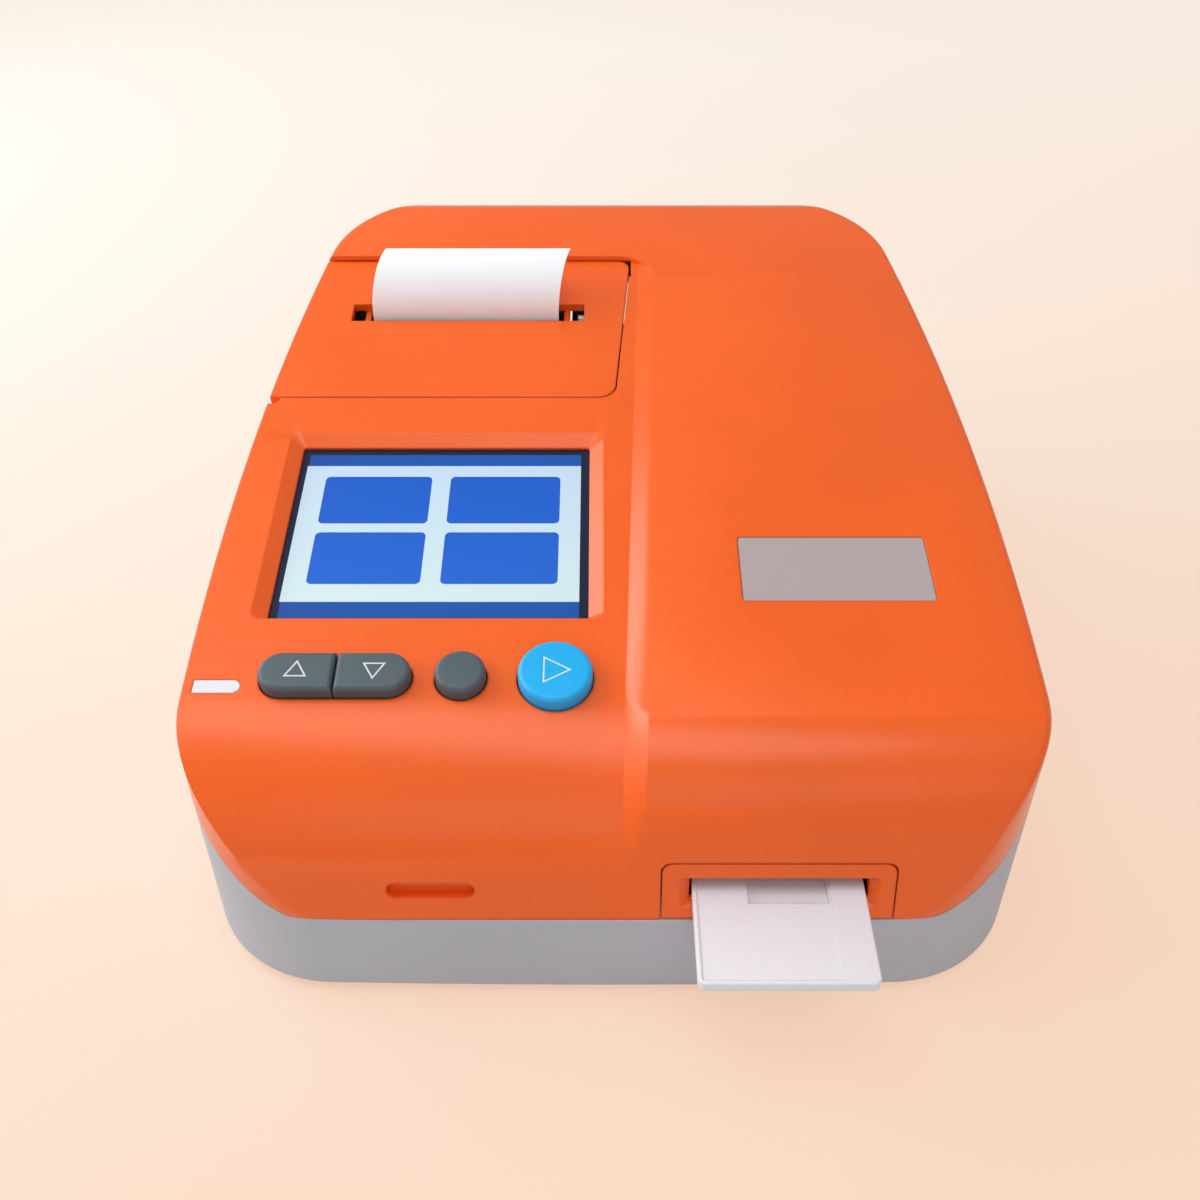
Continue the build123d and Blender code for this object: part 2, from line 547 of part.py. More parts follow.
# ---------------------------------------------------------------- base tub
PORTS = ((INLET_X, 10.0, 12.0), (SERIAL_X, 26.0, 9.0), (USB_X, 14.0, 7.5), (SWITCH_X, 21.0, 14.6))
with BuildPart() as base_tub:
    add(body.part)
    extrude(under_parting(), amount=REACH, both=True, mode=Mode.INTERSECT)
    add(hollow.part, mode=Mode.SUBTRACT)
    # flat connector panel in the back wall
    box_between(-REAR_PANEL_HALF - 2, REAR_PANEL_HALF + 2, REAR_PANEL_FACE - REAR_PANEL_THICKNESS, DEPTH - 0.5,
                REAR_PANEL_LOW - 2, REAR_PANEL_HIGH + 2)
    with Locations((0, FRONT + REAR_PANEL_FACE + 10, (REAR_PANEL_LOW + REAR_PANEL_HIGH) / 2)):
        Box(2 * REAR_PANEL_HALF, 20, REAR_PANEL_HIGH - REAR_PANEL_LOW, mode=Mode.SUBTRACT)
    for x, wide, high in PORTS:
        with Locations((x, FRONT + REAR_PANEL_FACE - REAR_PANEL_THICKNESS / 2, PORT_HEIGHT)):
            Box(wide + 2 * FIT, REAR_PANEL_THICKNESS + 4, high + 2 * FIT, mode=Mode.SUBTRACT)
    # cooling slots in the back wall above the panel
    with BuildSketch(Plane.XZ.offset(-(FRONT + DEPTH + 6))):
        with Locations((0, 60)):
            with GridLocations(7.0, 1, 13, 1):
                SlotOverall(22, 2.6, rotation=90)
    extrude(amount=14, mode=Mode.SUBTRACT)
    # bosses for the case screws and posts for the chassis plate
    for x, depth in CASE_SCREW_PLACES:
        extrude(round_outline(Plane.XY.offset(UNDERSIDE + 1), x, FRONT + depth, CASE_BOSS_RADIUS),
                amount=CASE_BOSS_HEIGHT - UNDERSIDE - 1)
        extrude(round_outline(Plane.XY.offset(UNDERSIDE - 1), x, FRONT + depth, CASE_SCREW_RADIUS + SHAFT_PLAY),
                amount=CASE_BOSS_HEIGHT + 2, mode=Mode.SUBTRACT)
        extrude(round_outline(Plane.XY.offset(UNDERSIDE - 1), x, FRONT + depth, CASE_SCREW_RADIUS + 1.5),
                amount=CASE_SCREW_SINK, mode=Mode.SUBTRACT)
    for x, depth in CHASSIS_POSTS:
        extrude(round_outline(Plane.XY.offset(UNDERSIDE + 1), x, FRONT + depth, POST_RADIUS),
                amount=CHASSIS_HEIGHT - UNDERSIDE - 1)
        extrude(round_outline(Plane.XY.offset(CHASSIS_HEIGHT), x, FRONT + depth, SMALL_SCREW + FIT / 2),
                amount=-7, mode=Mode.SUBTRACT)
    with BuildSketch(Plane.XY.offset(UNDERSIDE - 1)):
        with Locations((SPEAKER_PLACE[0], FRONT + SPEAKER_PLACE[1])):
            with GridLocations(4.0, 4.0, 5, 5):
                Circle(1.0)
    extrude(amount=WALL + 2, mode=Mode.SUBTRACT)
    for x, depth in FOOT_PLACES:
        extrude(round_outline(Plane.XY.offset(UNDERSIDE - 1), x, FRONT + depth, FOOT_RADIUS + FIT),
                amount=1 + FOOT_SINK, mode=Mode.SUBTRACT)
    # knuckle room and drawer bezel relief
    with BuildSketch(across(-REACH, HINGE_V, -HINGE_DEPTH)):
        Circle(KNUCKLE_RADIUS + RUNNING - 0.05)
    extrude(amount=REACH - 60, mode=Mode.SUBTRACT)

# ---------------------------------------------------------------- printer door and what it carries
with BuildPart() as knuckle:
    with BuildSketch(across(-REACH, HINGE_V, -HINGE_DEPTH)):
        Circle(KNUCKLE_RADIUS)
    extrude(amount=REACH - HALF_BACK + 0.5)
    add(body.part, mode=Mode.INTERSECT)

with BuildPart() as printer_door:
    add(body.part)
    extrude(under_parting(), amount=REACH, both=True, mode=Mode.SUBTRACT)
    add(hollow.part, mode=Mode.SUBTRACT)
    extrude(door_outline(SEAM), amount=60, both=True, mode=Mode.INTERSECT)
    # behind the hinge axis only the plate itself is left; a round knuckle takes the skirt's place
    extrude(block(LEFT_PANEL.offset(-SKIN), -REACH, -60, HINGE_V, DOOR_BACK + 5), amount=-40, mode=Mode.SUBTRACT)
    extrude(block(LEFT_PANEL.offset(-PARTING_SIDE * 0.99 + RUNNING), -REACH, 20, DOOR_FRONT - 5, DOOR_BACK + 5),
            amount=-30, mode=Mode.SUBTRACT)
    add(knuckle.part)
    # hinge lug at the right end, ears for the feed roller, back wall of the slit
    with BuildSketch(across(LUG_X, HINGE_V, -HINGE_DEPTH)):
        Circle(LUG_RADIUS)
        with Locations((0, (HINGE_DEPTH - SKIN + 0.5) / 2)):
            Rectangle(2 * LUG_RADIUS, HINGE_DEPTH - SKIN + 0.5)
    extrude(amount=LUG_WIDTH)
    for ear_x in (EAR_LEFT - EAR_THICKNESS, EAR_RIGHT):
        with BuildSketch(across(ear_x, PLATEN_V, -PLATEN_DEPTH)):
            Circle(SHAFT_RADIUS + 1.7)
            with Locations((3.4, (PLATEN_DEPTH - SKIN) / 2)):
                Rectangle(8.0, PLATEN_DEPTH - SKIN + 1)
        extrude(amount=EAR_THICKNESS)
    # paper slit; the front edge steps back where the paper runs
    extrude(block(LEFT_PANEL.offset(1), SLIT_LEFT, SLIT_RIGHT, SLIT_FRONT, SLIT_BACK), amount=-SKIN - 1.5,
            mode=Mode.SUBTRACT)
    extrude(block(LEFT_PANEL.offset(0.5), SLIT_LEFT, SLIT_RIGHT, SLIT_FRONT - TEAR_BAR_THICKNESS, SLIT_FRONT + 1),
            amount=-SKIN - 1.5, mode=Mode.SUBTRACT)
    with BuildSketch(across(KNUCKLE_HOLE_END, HINGE_V, -HINGE_DEPTH)):
        Circle(HINGE_PIN_RADIUS + SHAFT_PLAY)
    extrude(amount=-KNUCKLE_HOLE_END + CHEEK_LEFT, mode=Mode.SUBTRACT)
    with BuildSketch(across(LUG_X - 1, HINGE_V, -HINGE_DEPTH)):
        Circle(HINGE_PIN_RADIUS + SHAFT_PLAY)
    extrude(amount=LUG_WIDTH + 2, mode=Mode.SUBTRACT)
    with BuildSketch(across(EAR_LEFT - 5, PLATEN_V, -PLATEN_DEPTH)):
        Circle(SHAFT_RADIUS + SHAFT_PLAY)
    extrude(amount=EAR_RIGHT - EAR_LEFT + 10, mode=Mode.SUBTRACT)

with BuildPart() as door_hinge_pins:
    for start, end in ((KNUCKLE_HOLE_END + 0.4, CHEEK_LEFT + CHEEK_THICKNESS + 0.6),
                       (CHEEK_RIGHT - 0.6, LUG_X + LUG_WIDTH + 0.4)):
        with BuildSketch(across(start, HINGE_V, -HINGE_DEPTH)):
            Circle(HINGE_PIN_RADIUS)
        extrude(amount=end - start)

with BuildPart() as tear_bar:
    extrude(block(across(SLIT_LEFT + 0.5, SLIT_FRONT - TEAR_BAR_THICKNESS, 0), 0, TEAR_BAR_THICKNESS,
                  -SKIN - 0.6, -SKIN - 0.6 + TEAR_BAR_HEIGHT), amount=SLIT_RIGHT - SLIT_LEFT - 1)
    pitch = (SLIT_RIGHT - SLIT_LEFT - 1) / TEETH_ON_TEAR_BAR
    tooth_plane = Plane(origin=v_point((SLIT_LEFT + SLIT_RIGHT) / 2, SLIT_FRONT - 2, -0.6), x_dir=(1, 0, 0),
                        z_dir=LEFT_PANEL.y_dir)
    with BuildSketch(tooth_plane):
        with GridLocations(pitch, 1, TEETH_ON_TEAR_BAR, 1):
            RegularPolygon(pitch * 0.42, 4)
    extrude(amount=4, mode=Mode.SUBTRACT)


def paper_side(plane):
    """Side view of the strip: straight up out of the slit, then curling back."""
    with BuildSketch(plane) as side:
        with BuildLine():
            outer, inner = PAPER_CURL, PAPER_CURL - PAPER_THICKNESS
            tip = radians(180 - PAPER_CURL_ANGLE)
            mid = radians(180 - PAPER_CURL_ANGLE / 2)
            Line((0, 0), (0, PAPER_TAIL))
            ThreePointArc((0, PAPER_TAIL), (outer + outer * cos(mid), PAPER_TAIL + outer * sin(mid)),
                          (outer + outer * cos(tip), PAPER_TAIL + outer * sin(tip)))
            Line((outer + outer * cos(tip), PAPER_TAIL + outer * sin(tip)),
                 (outer + inner * cos(tip), PAPER_TAIL + inner * sin(tip)))
            ThreePointArc((outer + inner * cos(tip), PAPER_TAIL + inner * sin(tip)),
                          (outer + inner * cos(mid), PAPER_TAIL + inner * sin(mid)),
                          (PAPER_THICKNESS, PAPER_TAIL))
            Line((PAPER_THICKNESS, PAPER_TAIL), (PAPER_THICKNESS, 0))
            Line((PAPER_THICKNESS, 0), (0, 0))
        make_face()
    return side.sketch


with BuildPart() as paper_strip:
    extrude(paper_side(across(PAPER_CENTRE - PAPER_WIDTH / 2, PAPER_V, -PAPER_TAIL)), amount=PAPER_WIDTH + 2 * PAPER_LEAN)
    # seen from above its sides drift to the right as it curls back
    left, right = PAPER_CENTRE - PAPER_WIDTH / 2, PAPER_CENTRE + PAPER_WIDTH / 2
    far = 2 * PAPER_CURL * (1 - cos(radians(PAPER_CURL_ANGLE)))
    with BuildSketch(LEFT_PANEL):
        with BuildLine():
            Polyline((left, PAPER_V - 2), (left, PAPER_V), (left + 2 * PAPER_LEAN, PAPER_V + far),
                     (right + 2 * PAPER_LEAN, PAPER_V + far), (right, PAPER_V), (right, PAPER_V - 2), close=True)
        make_face()
    extrude(amount=PAPER_CURL + PAPER_TAIL, both=True, mode=Mode.INTERSECT)

with BuildPart() as platen_roller:
    with BuildSketch(across(PAPER_CENTRE - PAPER_WIDTH / 2, PLATEN_V, -PLATEN_DEPTH)):
        Circle(PLATEN_RADIUS)
    extrude(amount=PAPER_WIDTH)
    with BuildSketch(across(EAR_LEFT - EAR_THICKNESS, PLATEN_V, -PLATEN_DEPTH)):
        Circle(SHAFT_RADIUS)
    extrude(amount=GEAR_X + GEAR_WIDTH - EAR_LEFT + EAR_THICKNESS)


def spur(plane, radius, teeth, tooth, bore):
    """Small moulded gear: a disc with square-shouldered teeth."""
    with BuildSketch(plane) as gear:
        Circle(radius - tooth)
        with PolarLocations(radius - tooth / 2 - 0.1, teeth):
            Rectangle(tooth + 0.2, (radius - tooth / 2) * 3.0 / teeth)
        Circle(bore, mode=Mode.SUBTRACT)
    return gear.sketch


with BuildPart() as platen_gear:
    extrude(spur(across(GEAR_X, PLATEN_V, -PLATEN_DEPTH), PLATEN_GEAR_RADIUS, 12, 0.8, SHAFT_RADIUS),
            amount=GEAR_WIDTH)

with BuildPart() as feed_gear:
    extrude(spur(across(GEAR_X, PLATEN_V, -FEED_GEAR_DEPTH), FEED_GEAR_RADIUS, 28, 0.8, SHAFT_RADIUS),
            amount=GEAR_WIDTH)

FEED_AXIS = v_point(0, PLATEN_V, -FEED_GEAR_DEPTH)
FEED_MOTOR_D = FEED_AXIS.Y - FRONT
FEED_SHELF = FEED_AXIS.Z - FEED_MOTOR_RADIUS - 2.5
with BuildPart() as feed_motor:
    with BuildSketch(Plane.YZ.offset(GEAR_X + GEAR_WIDTH + 0.7)):
        with Locations((FEED_AXIS.Y, FEED_AXIS.Z)):
            Circle(FEED_MOTOR_RADIUS)
            Circle(SHAFT_RADIUS + SHAFT_PLAY, mode=Mode.SUBTRACT)
        with Locations((FEED_AXIS.Y, FEED_AXIS.Z - FEED_MOTOR_RADIUS)):
            Rectangle(12, 5)
    extrude(amount=FEED_MOTOR_LENGTH)
    fillet(feed_motor.faces().sort_by(Axis.X)[-1].edges(), 0.8)

with BuildPart() as feed_shaft:
    with BuildSketch(across(CHEEK_RIGHT, PLATEN_V, -FEED_GEAR_DEPTH)):
        Circle(SHAFT_RADIUS)
    extrude(amount=GEAR_X + GEAR_WIDTH + 5.0 - CHEEK_RIGHT)

# ---------------------------------------------------------------- printer on the chassis
ROLL_Y = FRONT + ROLL_DEPTH
CHEEK_FRONT, CHEEK_BACK = ROLL_DEPTH - 12.0, 197.0
FRAME_BASE = 24.5
HEAD_TOP = SKIN + 0.9
CHEEK_TOP_DROP = 14.0
HINGE = v_point(0, HINGE_V, -HINGE_DEPTH)
HINGE_D = HINGE.Y - FRONT
FINGER_WEB = HINGE.Z - 14.0


def cheek_side(plane_x):
    with BuildSketch(Plane.YZ.offset(plane_x)) as side:
        with BuildLine():
            Polyline((FRONT + CHEEK_FRONT, FRAME_BASE), (FRONT + CHEEK_BACK, FRAME_BASE),
                     (FRONT + CHEEK_BACK, left_z(CHEEK_BACK) - CHEEK_TOP_DROP),
                     (FRONT + 168, left_z(168) - CHEEK_TOP_DROP), (FRONT + 168, ROLL_HEIGHT + 9),
                     (FRONT + CHEEK_FRONT, ROLL_HEIGHT + 9), close=True)
        make_face()
        # finger that holds the door's hinge pin
        with Locations((HINGE.Y, HINGE.Z)):
            Circle(FINGER_RADIUS)
        with Locations((HINGE.Y, (HINGE.Z + FRAME_BASE) / 2)):
            Rectangle(2 * FINGER_RADIUS, HINGE.Z - FRAME_BASE)
        with Locations((FRONT + (CHEEK_BACK + HINGE_D) / 2, (FRAME_BASE + FINGER_WEB) / 2)):
            Rectangle(HINGE_D - CHEEK_BACK + 1, FINGER_WEB - FRAME_BASE)
        with Locations((HINGE.Y, HINGE.Z)):
            Circle(HINGE_PIN_RADIUS + FIT / 2, mode=Mode.SUBTRACT)
        # open slot that the roll's spindle drops into
        with Locations((ROLL_Y, ROLL_HEIGHT + 6)):
            Rectangle(2 * SPINDLE_RADIUS + 2 * FIT, 12, mode=Mode.SUBTRACT)
        with Locations((ROLL_Y, ROLL_HEIGHT)):
            Circle(SPINDLE_RADIUS + FIT, mode=Mode.SUBTRACT)
    return side.sketch


with BuildPart() as printer_frame:
    extrude(cheek_side(CHEEK_LEFT), amount=CHEEK_THICKNESS)
    extrude(cheek_side(CHEEK_RIGHT), amount=CHEEK_THICKNESS)
    box_between(CHEEK_LEFT, CHEEK_RIGHT + CHEEK_THICKNESS, CHEEK_FRONT, CHEEK_BACK, FRAME_BASE,
                FRAME_BASE + CHEEK_THICKNESS)
    # bar that carries the print head, legs down to the chassis
    extrude(block(across(CHEEK_LEFT, HEAD_EDGE - HEAD_THICKNESS, 0), -CHEEK_THICKNESS, 0,
                  -HEAD_TOP - HEAD_HEIGHT - 10, -CHEEK_TOP_DROP), amount=CHEEK_RIGHT + CHEEK_THICKNESS - CHEEK_LEFT)
    # shelf for the feed motor
    box_between(CHEEK_RIGHT + 0.5, GEAR_X + GEAR_WIDTH + 0.7 + FEED_MOTOR_LENGTH, FEED_MOTOR_D - 8, FEED_MOTOR_D + 8,
                FEED_SHELF - CHEEK_THICKNESS, FEED_SHELF)
    for x in (CHEEK_LEFT + 4, CHEEK_RIGHT - 4):
        for depth in (CHEEK_FRONT + 5, CHEEK_BACK - 5):
            extrude(round_outline(Plane.XY.offset(CHASSIS_HEIGHT + CHASSIS_THICKNESS), x, FRONT + depth, 2.5),
                    amount=FRAME_BASE - CHASSIS_HEIGHT - CHASSIS_THICKNESS + 0.5)
    with BuildSketch(across(CHEEK_RIGHT - 1, PLATEN_V, -FEED_GEAR_DEPTH)):
        Circle(SHAFT_RADIUS + SHAFT_PLAY)
    extrude(amount=CHEEK_THICKNESS + 2, mode=Mode.SUBTRACT)

with BuildPart() as print_head:
    extrude(block(across(PAPER_CENTRE - PAPER_WIDTH / 2, HEAD_EDGE, -HEAD_TOP), -HEAD_THICKNESS, 0,
                  -HEAD_HEIGHT, 0), amount=PAPER_WIDTH)
    extrude(block(across(PAPER_CENTRE - PAPER_WIDTH / 2, HEAD_EDGE, -HEAD_TOP), -HEAD_THICKNESS,
                  -HEAD_THICKNESS + 2.0, -HEAD_HEIGHT - 8, -HEAD_HEIGHT + 0.5), amount=PAPER_WIDTH)

with BuildPart() as paper_roll:
    with BuildSketch(Plane.YZ.offset(PAPER_CENTRE - PAPER_WIDTH / 2)):
        with Locations((ROLL_Y, ROLL_HEIGHT)):
            Circle(ROLL_RADIUS)
            Circle(ROLL_CORE_RADIUS + 1.2, mode=Mode.SUBTRACT)
    extrude(amount=PAPER_WIDTH)

with BuildPart() as roll_core:
    with BuildSketch(Plane.YZ.offset(PAPER_CENTRE - PAPER_WIDTH / 2 - 0.5)):
        with Locations((ROLL_Y, ROLL_HEIGHT)):
            Circle(ROLL_CORE_RADIUS + 1.2)
            Circle(SPINDLE_RADIUS + RUNNING, mode=Mode.SUBTRACT)
    extrude(amount=PAPER_WIDTH + 1)

with BuildPart() as roll_spindle:
    with BuildSketch(Plane.YZ.offset(CHEEK_LEFT - 2)):
        with Locations((ROLL_Y, ROLL_HEIGHT)):
            Circle(SPINDLE_RADIUS)
    extrude(amount=CHEEK_RIGHT + CHEEK_THICKNESS - CHEEK_LEFT + 4)
    chamfer(roll_spindle.faces().filter_by(Axis.X).edges(), 0.8)

with BuildPart() as paper_web:
    lift = radians(7.5)
    near_r, far_r = ROLL_RADIUS + RUNNING, ROLL_RADIUS + RUNNING + PAPER_THICKNESS
    top = v_point(0, PAPER_V, -PAPER_TAIL - 0.5)
    with BuildSketch(Plane.YZ.offset(PAPER_CENTRE - PAPER_WIDTH / 2)):
        with BuildLine():
            Polyline((ROLL_Y + near_r * cos(lift), ROLL_HEIGHT + near_r * sin(lift)),
                     (ROLL_Y + far_r * cos(lift), ROLL_HEIGHT + far_r * sin(lift)),
                     (top.Y + PAPER_THICKNESS, top.Z), (top.Y, top.Z), close=True)
        make_face()
    extrude(amount=PAPER_WIDTH)

# ---------------------------------------------------------------- screen stack, front to back
GLASS = (GLASS_LEFT - GLASS_LAP, GLASS_RIGHT + GLASS_LAP, GLASS_FRONT - GLASS_LAP, GLASS_BACK + GLASS_LAP)
MODULE_INSET = 3.5
with BuildPart() as display_glass:
    extrude(block(LEFT_PANEL.offset(-GLASS_TOP), *GLASS, 0.6), amount=-GLASS_THICKNESS)

with BuildPart() as display_gasket:
    extrude(block(LEFT_PANEL.offset(-GLASS_UNDER), *GLASS), amount=-GASKET_THICKNESS)
    extrude(block(LEFT_PANEL.offset(-GLASS_UNDER), GLASS[0] + MODULE_INSET, GLASS[1] - MODULE_INSET,
                  GLASS[2] + MODULE_INSET, GLASS[3] - MODULE_INSET), amount=-GASKET_THICKNESS, mode=Mode.SUBTRACT)

with BuildPart() as display_module:
    extrude(block(LEFT_PANEL.offset(-MODULE_TOP), GLASS[0] + 1, GLASS[1] - 1, GLASS[2] + 1, GLASS[3] - 1),
            amount=-MODULE_THICKNESS)

with BuildPart() as display_carrier:
    extrude(block(LEFT_PANEL.offset(-CARRIER_TOP), SCREEN_LEFT - 1, SCREEN_RIGHT + 1, SCREEN_FRONT - 1,
                  SCREEN_BACK + 1, 2.0), amount=-CARRIER_THICKNESS)
    extrude(block(LEFT_PANEL.offset(-GLASS_UNDER), SCREEN_LEFT - 1, SCREEN_RIGHT + 1, SCREEN_FRONT - 1,
                  SCREEN_BACK + 1, 2.0), amount=-(CARRIER_TOP - GLASS_UNDER))
    extrude(block(LEFT_PANEL.offset(-GLASS_UNDER), GLASS[0], GLASS[1], GLASS[2], GLASS[3]),
            amount=-(CARRIER_TOP - GLASS_UNDER), mode=Mode.SUBTRACT)
    extrude(block(LEFT_PANEL.offset(-CARRIER_TOP), GLASS[0] + 12, GLASS[1] - 12, GLASS[2] + 12, GLASS[3] - 12),
            amount=-CARRIER_THICKNESS, mode=Mode.SUBTRACT)

# ---------------------------------------------------------------- keys


def key_body(shape, flange, stem_x, edge=KEY_EDGE):
    """Key cap standing proud of the panel, with a stop flange and a stem under it."""
    with BuildPart() as key:
        extrude(shape, amount=KEY_PROUD)
        fillet(key.faces().sort_by(lambda f: -LEFT_PANEL.to_local_coords(f.center()).Z)[0].edges(), edge)
        extrude(shape, amount=-FLANGE_TOP - KEY_FLANGE)
        extrude(flange, amount=-KEY_FLANGE)
        extrude(round_outline(LEFT_PANEL.offset(-FLANGE_TOP - KEY_FLANGE / 2), stem_x, KEY_ROW, KEY_STEM_RADIUS),
                amount=-(STEM_END - FLANGE_TOP - KEY_FLANGE / 2))
    return key.part


def triangle_groove(corners, width=0.5):
    """Engraved outline of a triangle on a key's top."""
    with BuildSketch(LEFT_PANEL.offset(KEY_PROUD)) as mark:
        with BuildLine():
            Polyline(*corners, close=True)
        make_face()
        with BuildLine():
            cx = sum(p[0] for p in corners) / 3
            cy = sum(p[1] for p in corners) / 3
            reach = sum(hypot(p[0] - cx, p[1] - cy) for p in corners) / 3
            k = 1 - 2 * width / reach
            Polyline(*[(cx + (p[0] - cx) * k, cy + (p[1] - cy) * k) for p in corners], close=True)
        make_face(mode=Mode.SUBTRACT)
    return mark.sketch


def triangle(x, y, radius, turn):
    return [(x + radius * cos(radians(turn + 120 * i)), y + radius * sin(radians(turn + 120 * i)))
            for i in range(3)]


UP_X = PILL_LEFT + 9.2
DOWN_X = PILL_RIGHT - 8.6
with BuildPart() as key_up:
    add(key_body(pill_half(0.0, True), block(LEFT_PANEL.offset(-FLANGE_TOP), PILL_LEFT - KEY_LAP,
                 PILL_SPLIT - SPLIT_GAP / 2, KEY_ROW - PILL_WIDTH / 2 - KEY_LAP,
                 KEY_ROW + PILL_WIDTH / 2 + KEY_LAP), UP_X))
    extrude(triangle_groove(triangle(UP_X, KEY_ROW - 0.4, 3.3, 90)), amount=-MARK_DEPTH, mode=Mode.SUBTRACT)

with BuildPart() as key_down:
    add(key_body(pill_half(0.0, False), block(LEFT_PANEL.offset(-FLANGE_TOP), PILL_SPLIT + SPLIT_GAP / 2,
                 PILL_RIGHT + KEY_LAP, KEY_ROW - PILL_WIDTH / 2 - KEY_LAP,
                 KEY_ROW + PILL_WIDTH / 2 + KEY_LAP), DOWN_X))
    extrude(triangle_groove(triangle(DOWN_X, KEY_ROW + 0.4, 3.3, -90)), amount=-MARK_DEPTH, mode=Mode.SUBTRACT)

with BuildPart() as key_select:
    add(key_body(round_outline(LEFT_PANEL, SELECT_X, KEY_ROW, SELECT_RADIUS),
                 round_outline(LEFT_PANEL.offset(-FLANGE_TOP), SELECT_X, KEY_ROW, SELECT_RADIUS + KEY_LAP),
                 SELECT_X))

with BuildPart() as key_start:
    add(key_body(round_outline(LEFT_PANEL, START_X, KEY_ROW, START_RADIUS),
                 round_outline(LEFT_PANEL.offset(-FLANGE_TOP), START_X, KEY_ROW, START_RADIUS + KEY_LAP),
                 START_X))
    extrude(triangle_groove(triangle(START_X - 0.6, KEY_ROW, 4.6, 0)), amount=-MARK_DEPTH, mode=Mode.SUBTRACT)

KEY_CENTRES = (UP_X, DOWN_X, SELECT_X, START_X)
with BuildPart() as key_switches:
    for x in KEY_CENTRES:
        extrude(block(LEFT_PANEL.offset(-KEY_BOARD_TOP), x - SWITCH_SIZE / 2, x + SWITCH_SIZE / 2,
                      KEY_ROW - SWITCH_SIZE / 2, KEY_ROW + SWITCH_SIZE / 2), amount=SWITCH_HEIGHT - 0.6)
        extrude(round_outline(LEFT_PANEL.offset(-KEY_BOARD_TOP + SWITCH_HEIGHT - 0.7), x, KEY_ROW, 1.7),
                amount=0.7)

with BuildPart() as key_board:
    extrude(block(LEFT_PANEL.offset(-KEY_BOARD_TOP), *KEY_BOARD, 1.0), amount=-BOARD_THICKNESS)
    for post in KEY_POSTS:
        extrude(round_outline(LEFT_PANEL.offset(-KEY_BOARD_TOP), *post, 1.25), amount=-BOARD_THICKNESS,
                mode=Mode.SUBTRACT)

with BuildPart() as key_board_screws:
    for post in KEY_POSTS:
        extrude(round_outline(LEFT_PANEL.offset(-KEY_BOARD_TOP - BOARD_THICKNESS), *post, 2.3), amount=-1.6)
        extrude(round_outline(LEFT_PANEL.offset(-KEY_BOARD_TOP - BOARD_THICKNESS - 0.5), *post, 1.1),
                amount=BOARD_THICKNESS + 0.5)

# ---------------------------------------------------------------- small panel pieces
with BuildPart() as status_light:
    extrude(light_outline(0.0), amount=LIGHT_DEPTH - 1, both=True)
    add(body.part, mode=Mode.INTERSECT)

with BuildPart() as light_board:
    extrude(block(LEFT_PANEL.offset(-LIGHT_DEPTH - 1.2), LIGHT_LEFT + 2.5, LIGHT_RIGHT - 1.2,
                  LIGHT_ROW - 5, LIGHT_ROW + 5, 0.8), amount=-1.2)
    extrude(block(LEFT_PANEL.offset(-LIGHT_DEPTH - 1.3), LIGHT_LEFT + 4, LIGHT_LEFT + 7.5,
                  LIGHT_ROW - 1.5, LIGHT_ROW + 1.5), amount=2.3)

with BuildPart() as rating_plate:
    extrude(block(RIGHT_PANEL.offset(-PLATE_THICKNESS), PLATE_LEFT, PLATE_RIGHT, PLATE_FRONT, PLATE_BACK, 0.9),
            amount=PLATE_THICKNESS - 0.1)

# ---------------------------------------------------------------- drawer and its bezel


def up_fascia(z):
    return (z - PARTING_FRONT) / LEAN_COS


with BuildPart() as tray_bezel:
    extrude(block(FASCIA, BEZEL_LEFT, BEZEL_RIGHT, -6, BEZEL_HEIGHT, BEZEL_CORNER), amount=-SKIN)
    extrude(block(FASCIA.offset(-SKIN), BEZEL_LEFT - BEZEL_LAP, BEZEL_RIGHT + BEZEL_LAP, 4.0,
                  BEZEL_HEIGHT + BEZEL_LAP), amount=-BEZEL_FLANGE)
    extrude(under_parting(), amount=REACH, both=True, mode=Mode.SUBTRACT)
    with Locations((0, FRONT, PARTING_FRONT - 10 + SEAM)):
        Box(2 * REACH, 60, 20, mode=Mode.SUBTRACT)
    loft(sections=[block(FASCIA.offset(0.01), SLOT_LEFT - FUNNEL, SLOT_RIGHT + FUNNEL,
                         up_fascia(SLOT_LOW - 1.2), up_fascia(SLOT_HIGH + 0.7), 1.0),
                   block(FASCIA.offset(-1.8), SLOT_LEFT, SLOT_RIGHT, up_fascia(SLOT_LOW) - 0.2,
                         up_fascia(SLOT_HIGH) - 0.4, 0.5)], ruled=True, mode=Mode.SUBTRACT)
    with Locations(((SLOT_LEFT + SLOT_RIGHT) / 2, FRONT + 3, (SLOT_LOW + SLOT_HIGH) / 2)):
        Box(SLOT_RIGHT - SLOT_LEFT, 26, SLOT_HIGH - SLOT_LOW, mode=Mode.SUBTRACT)

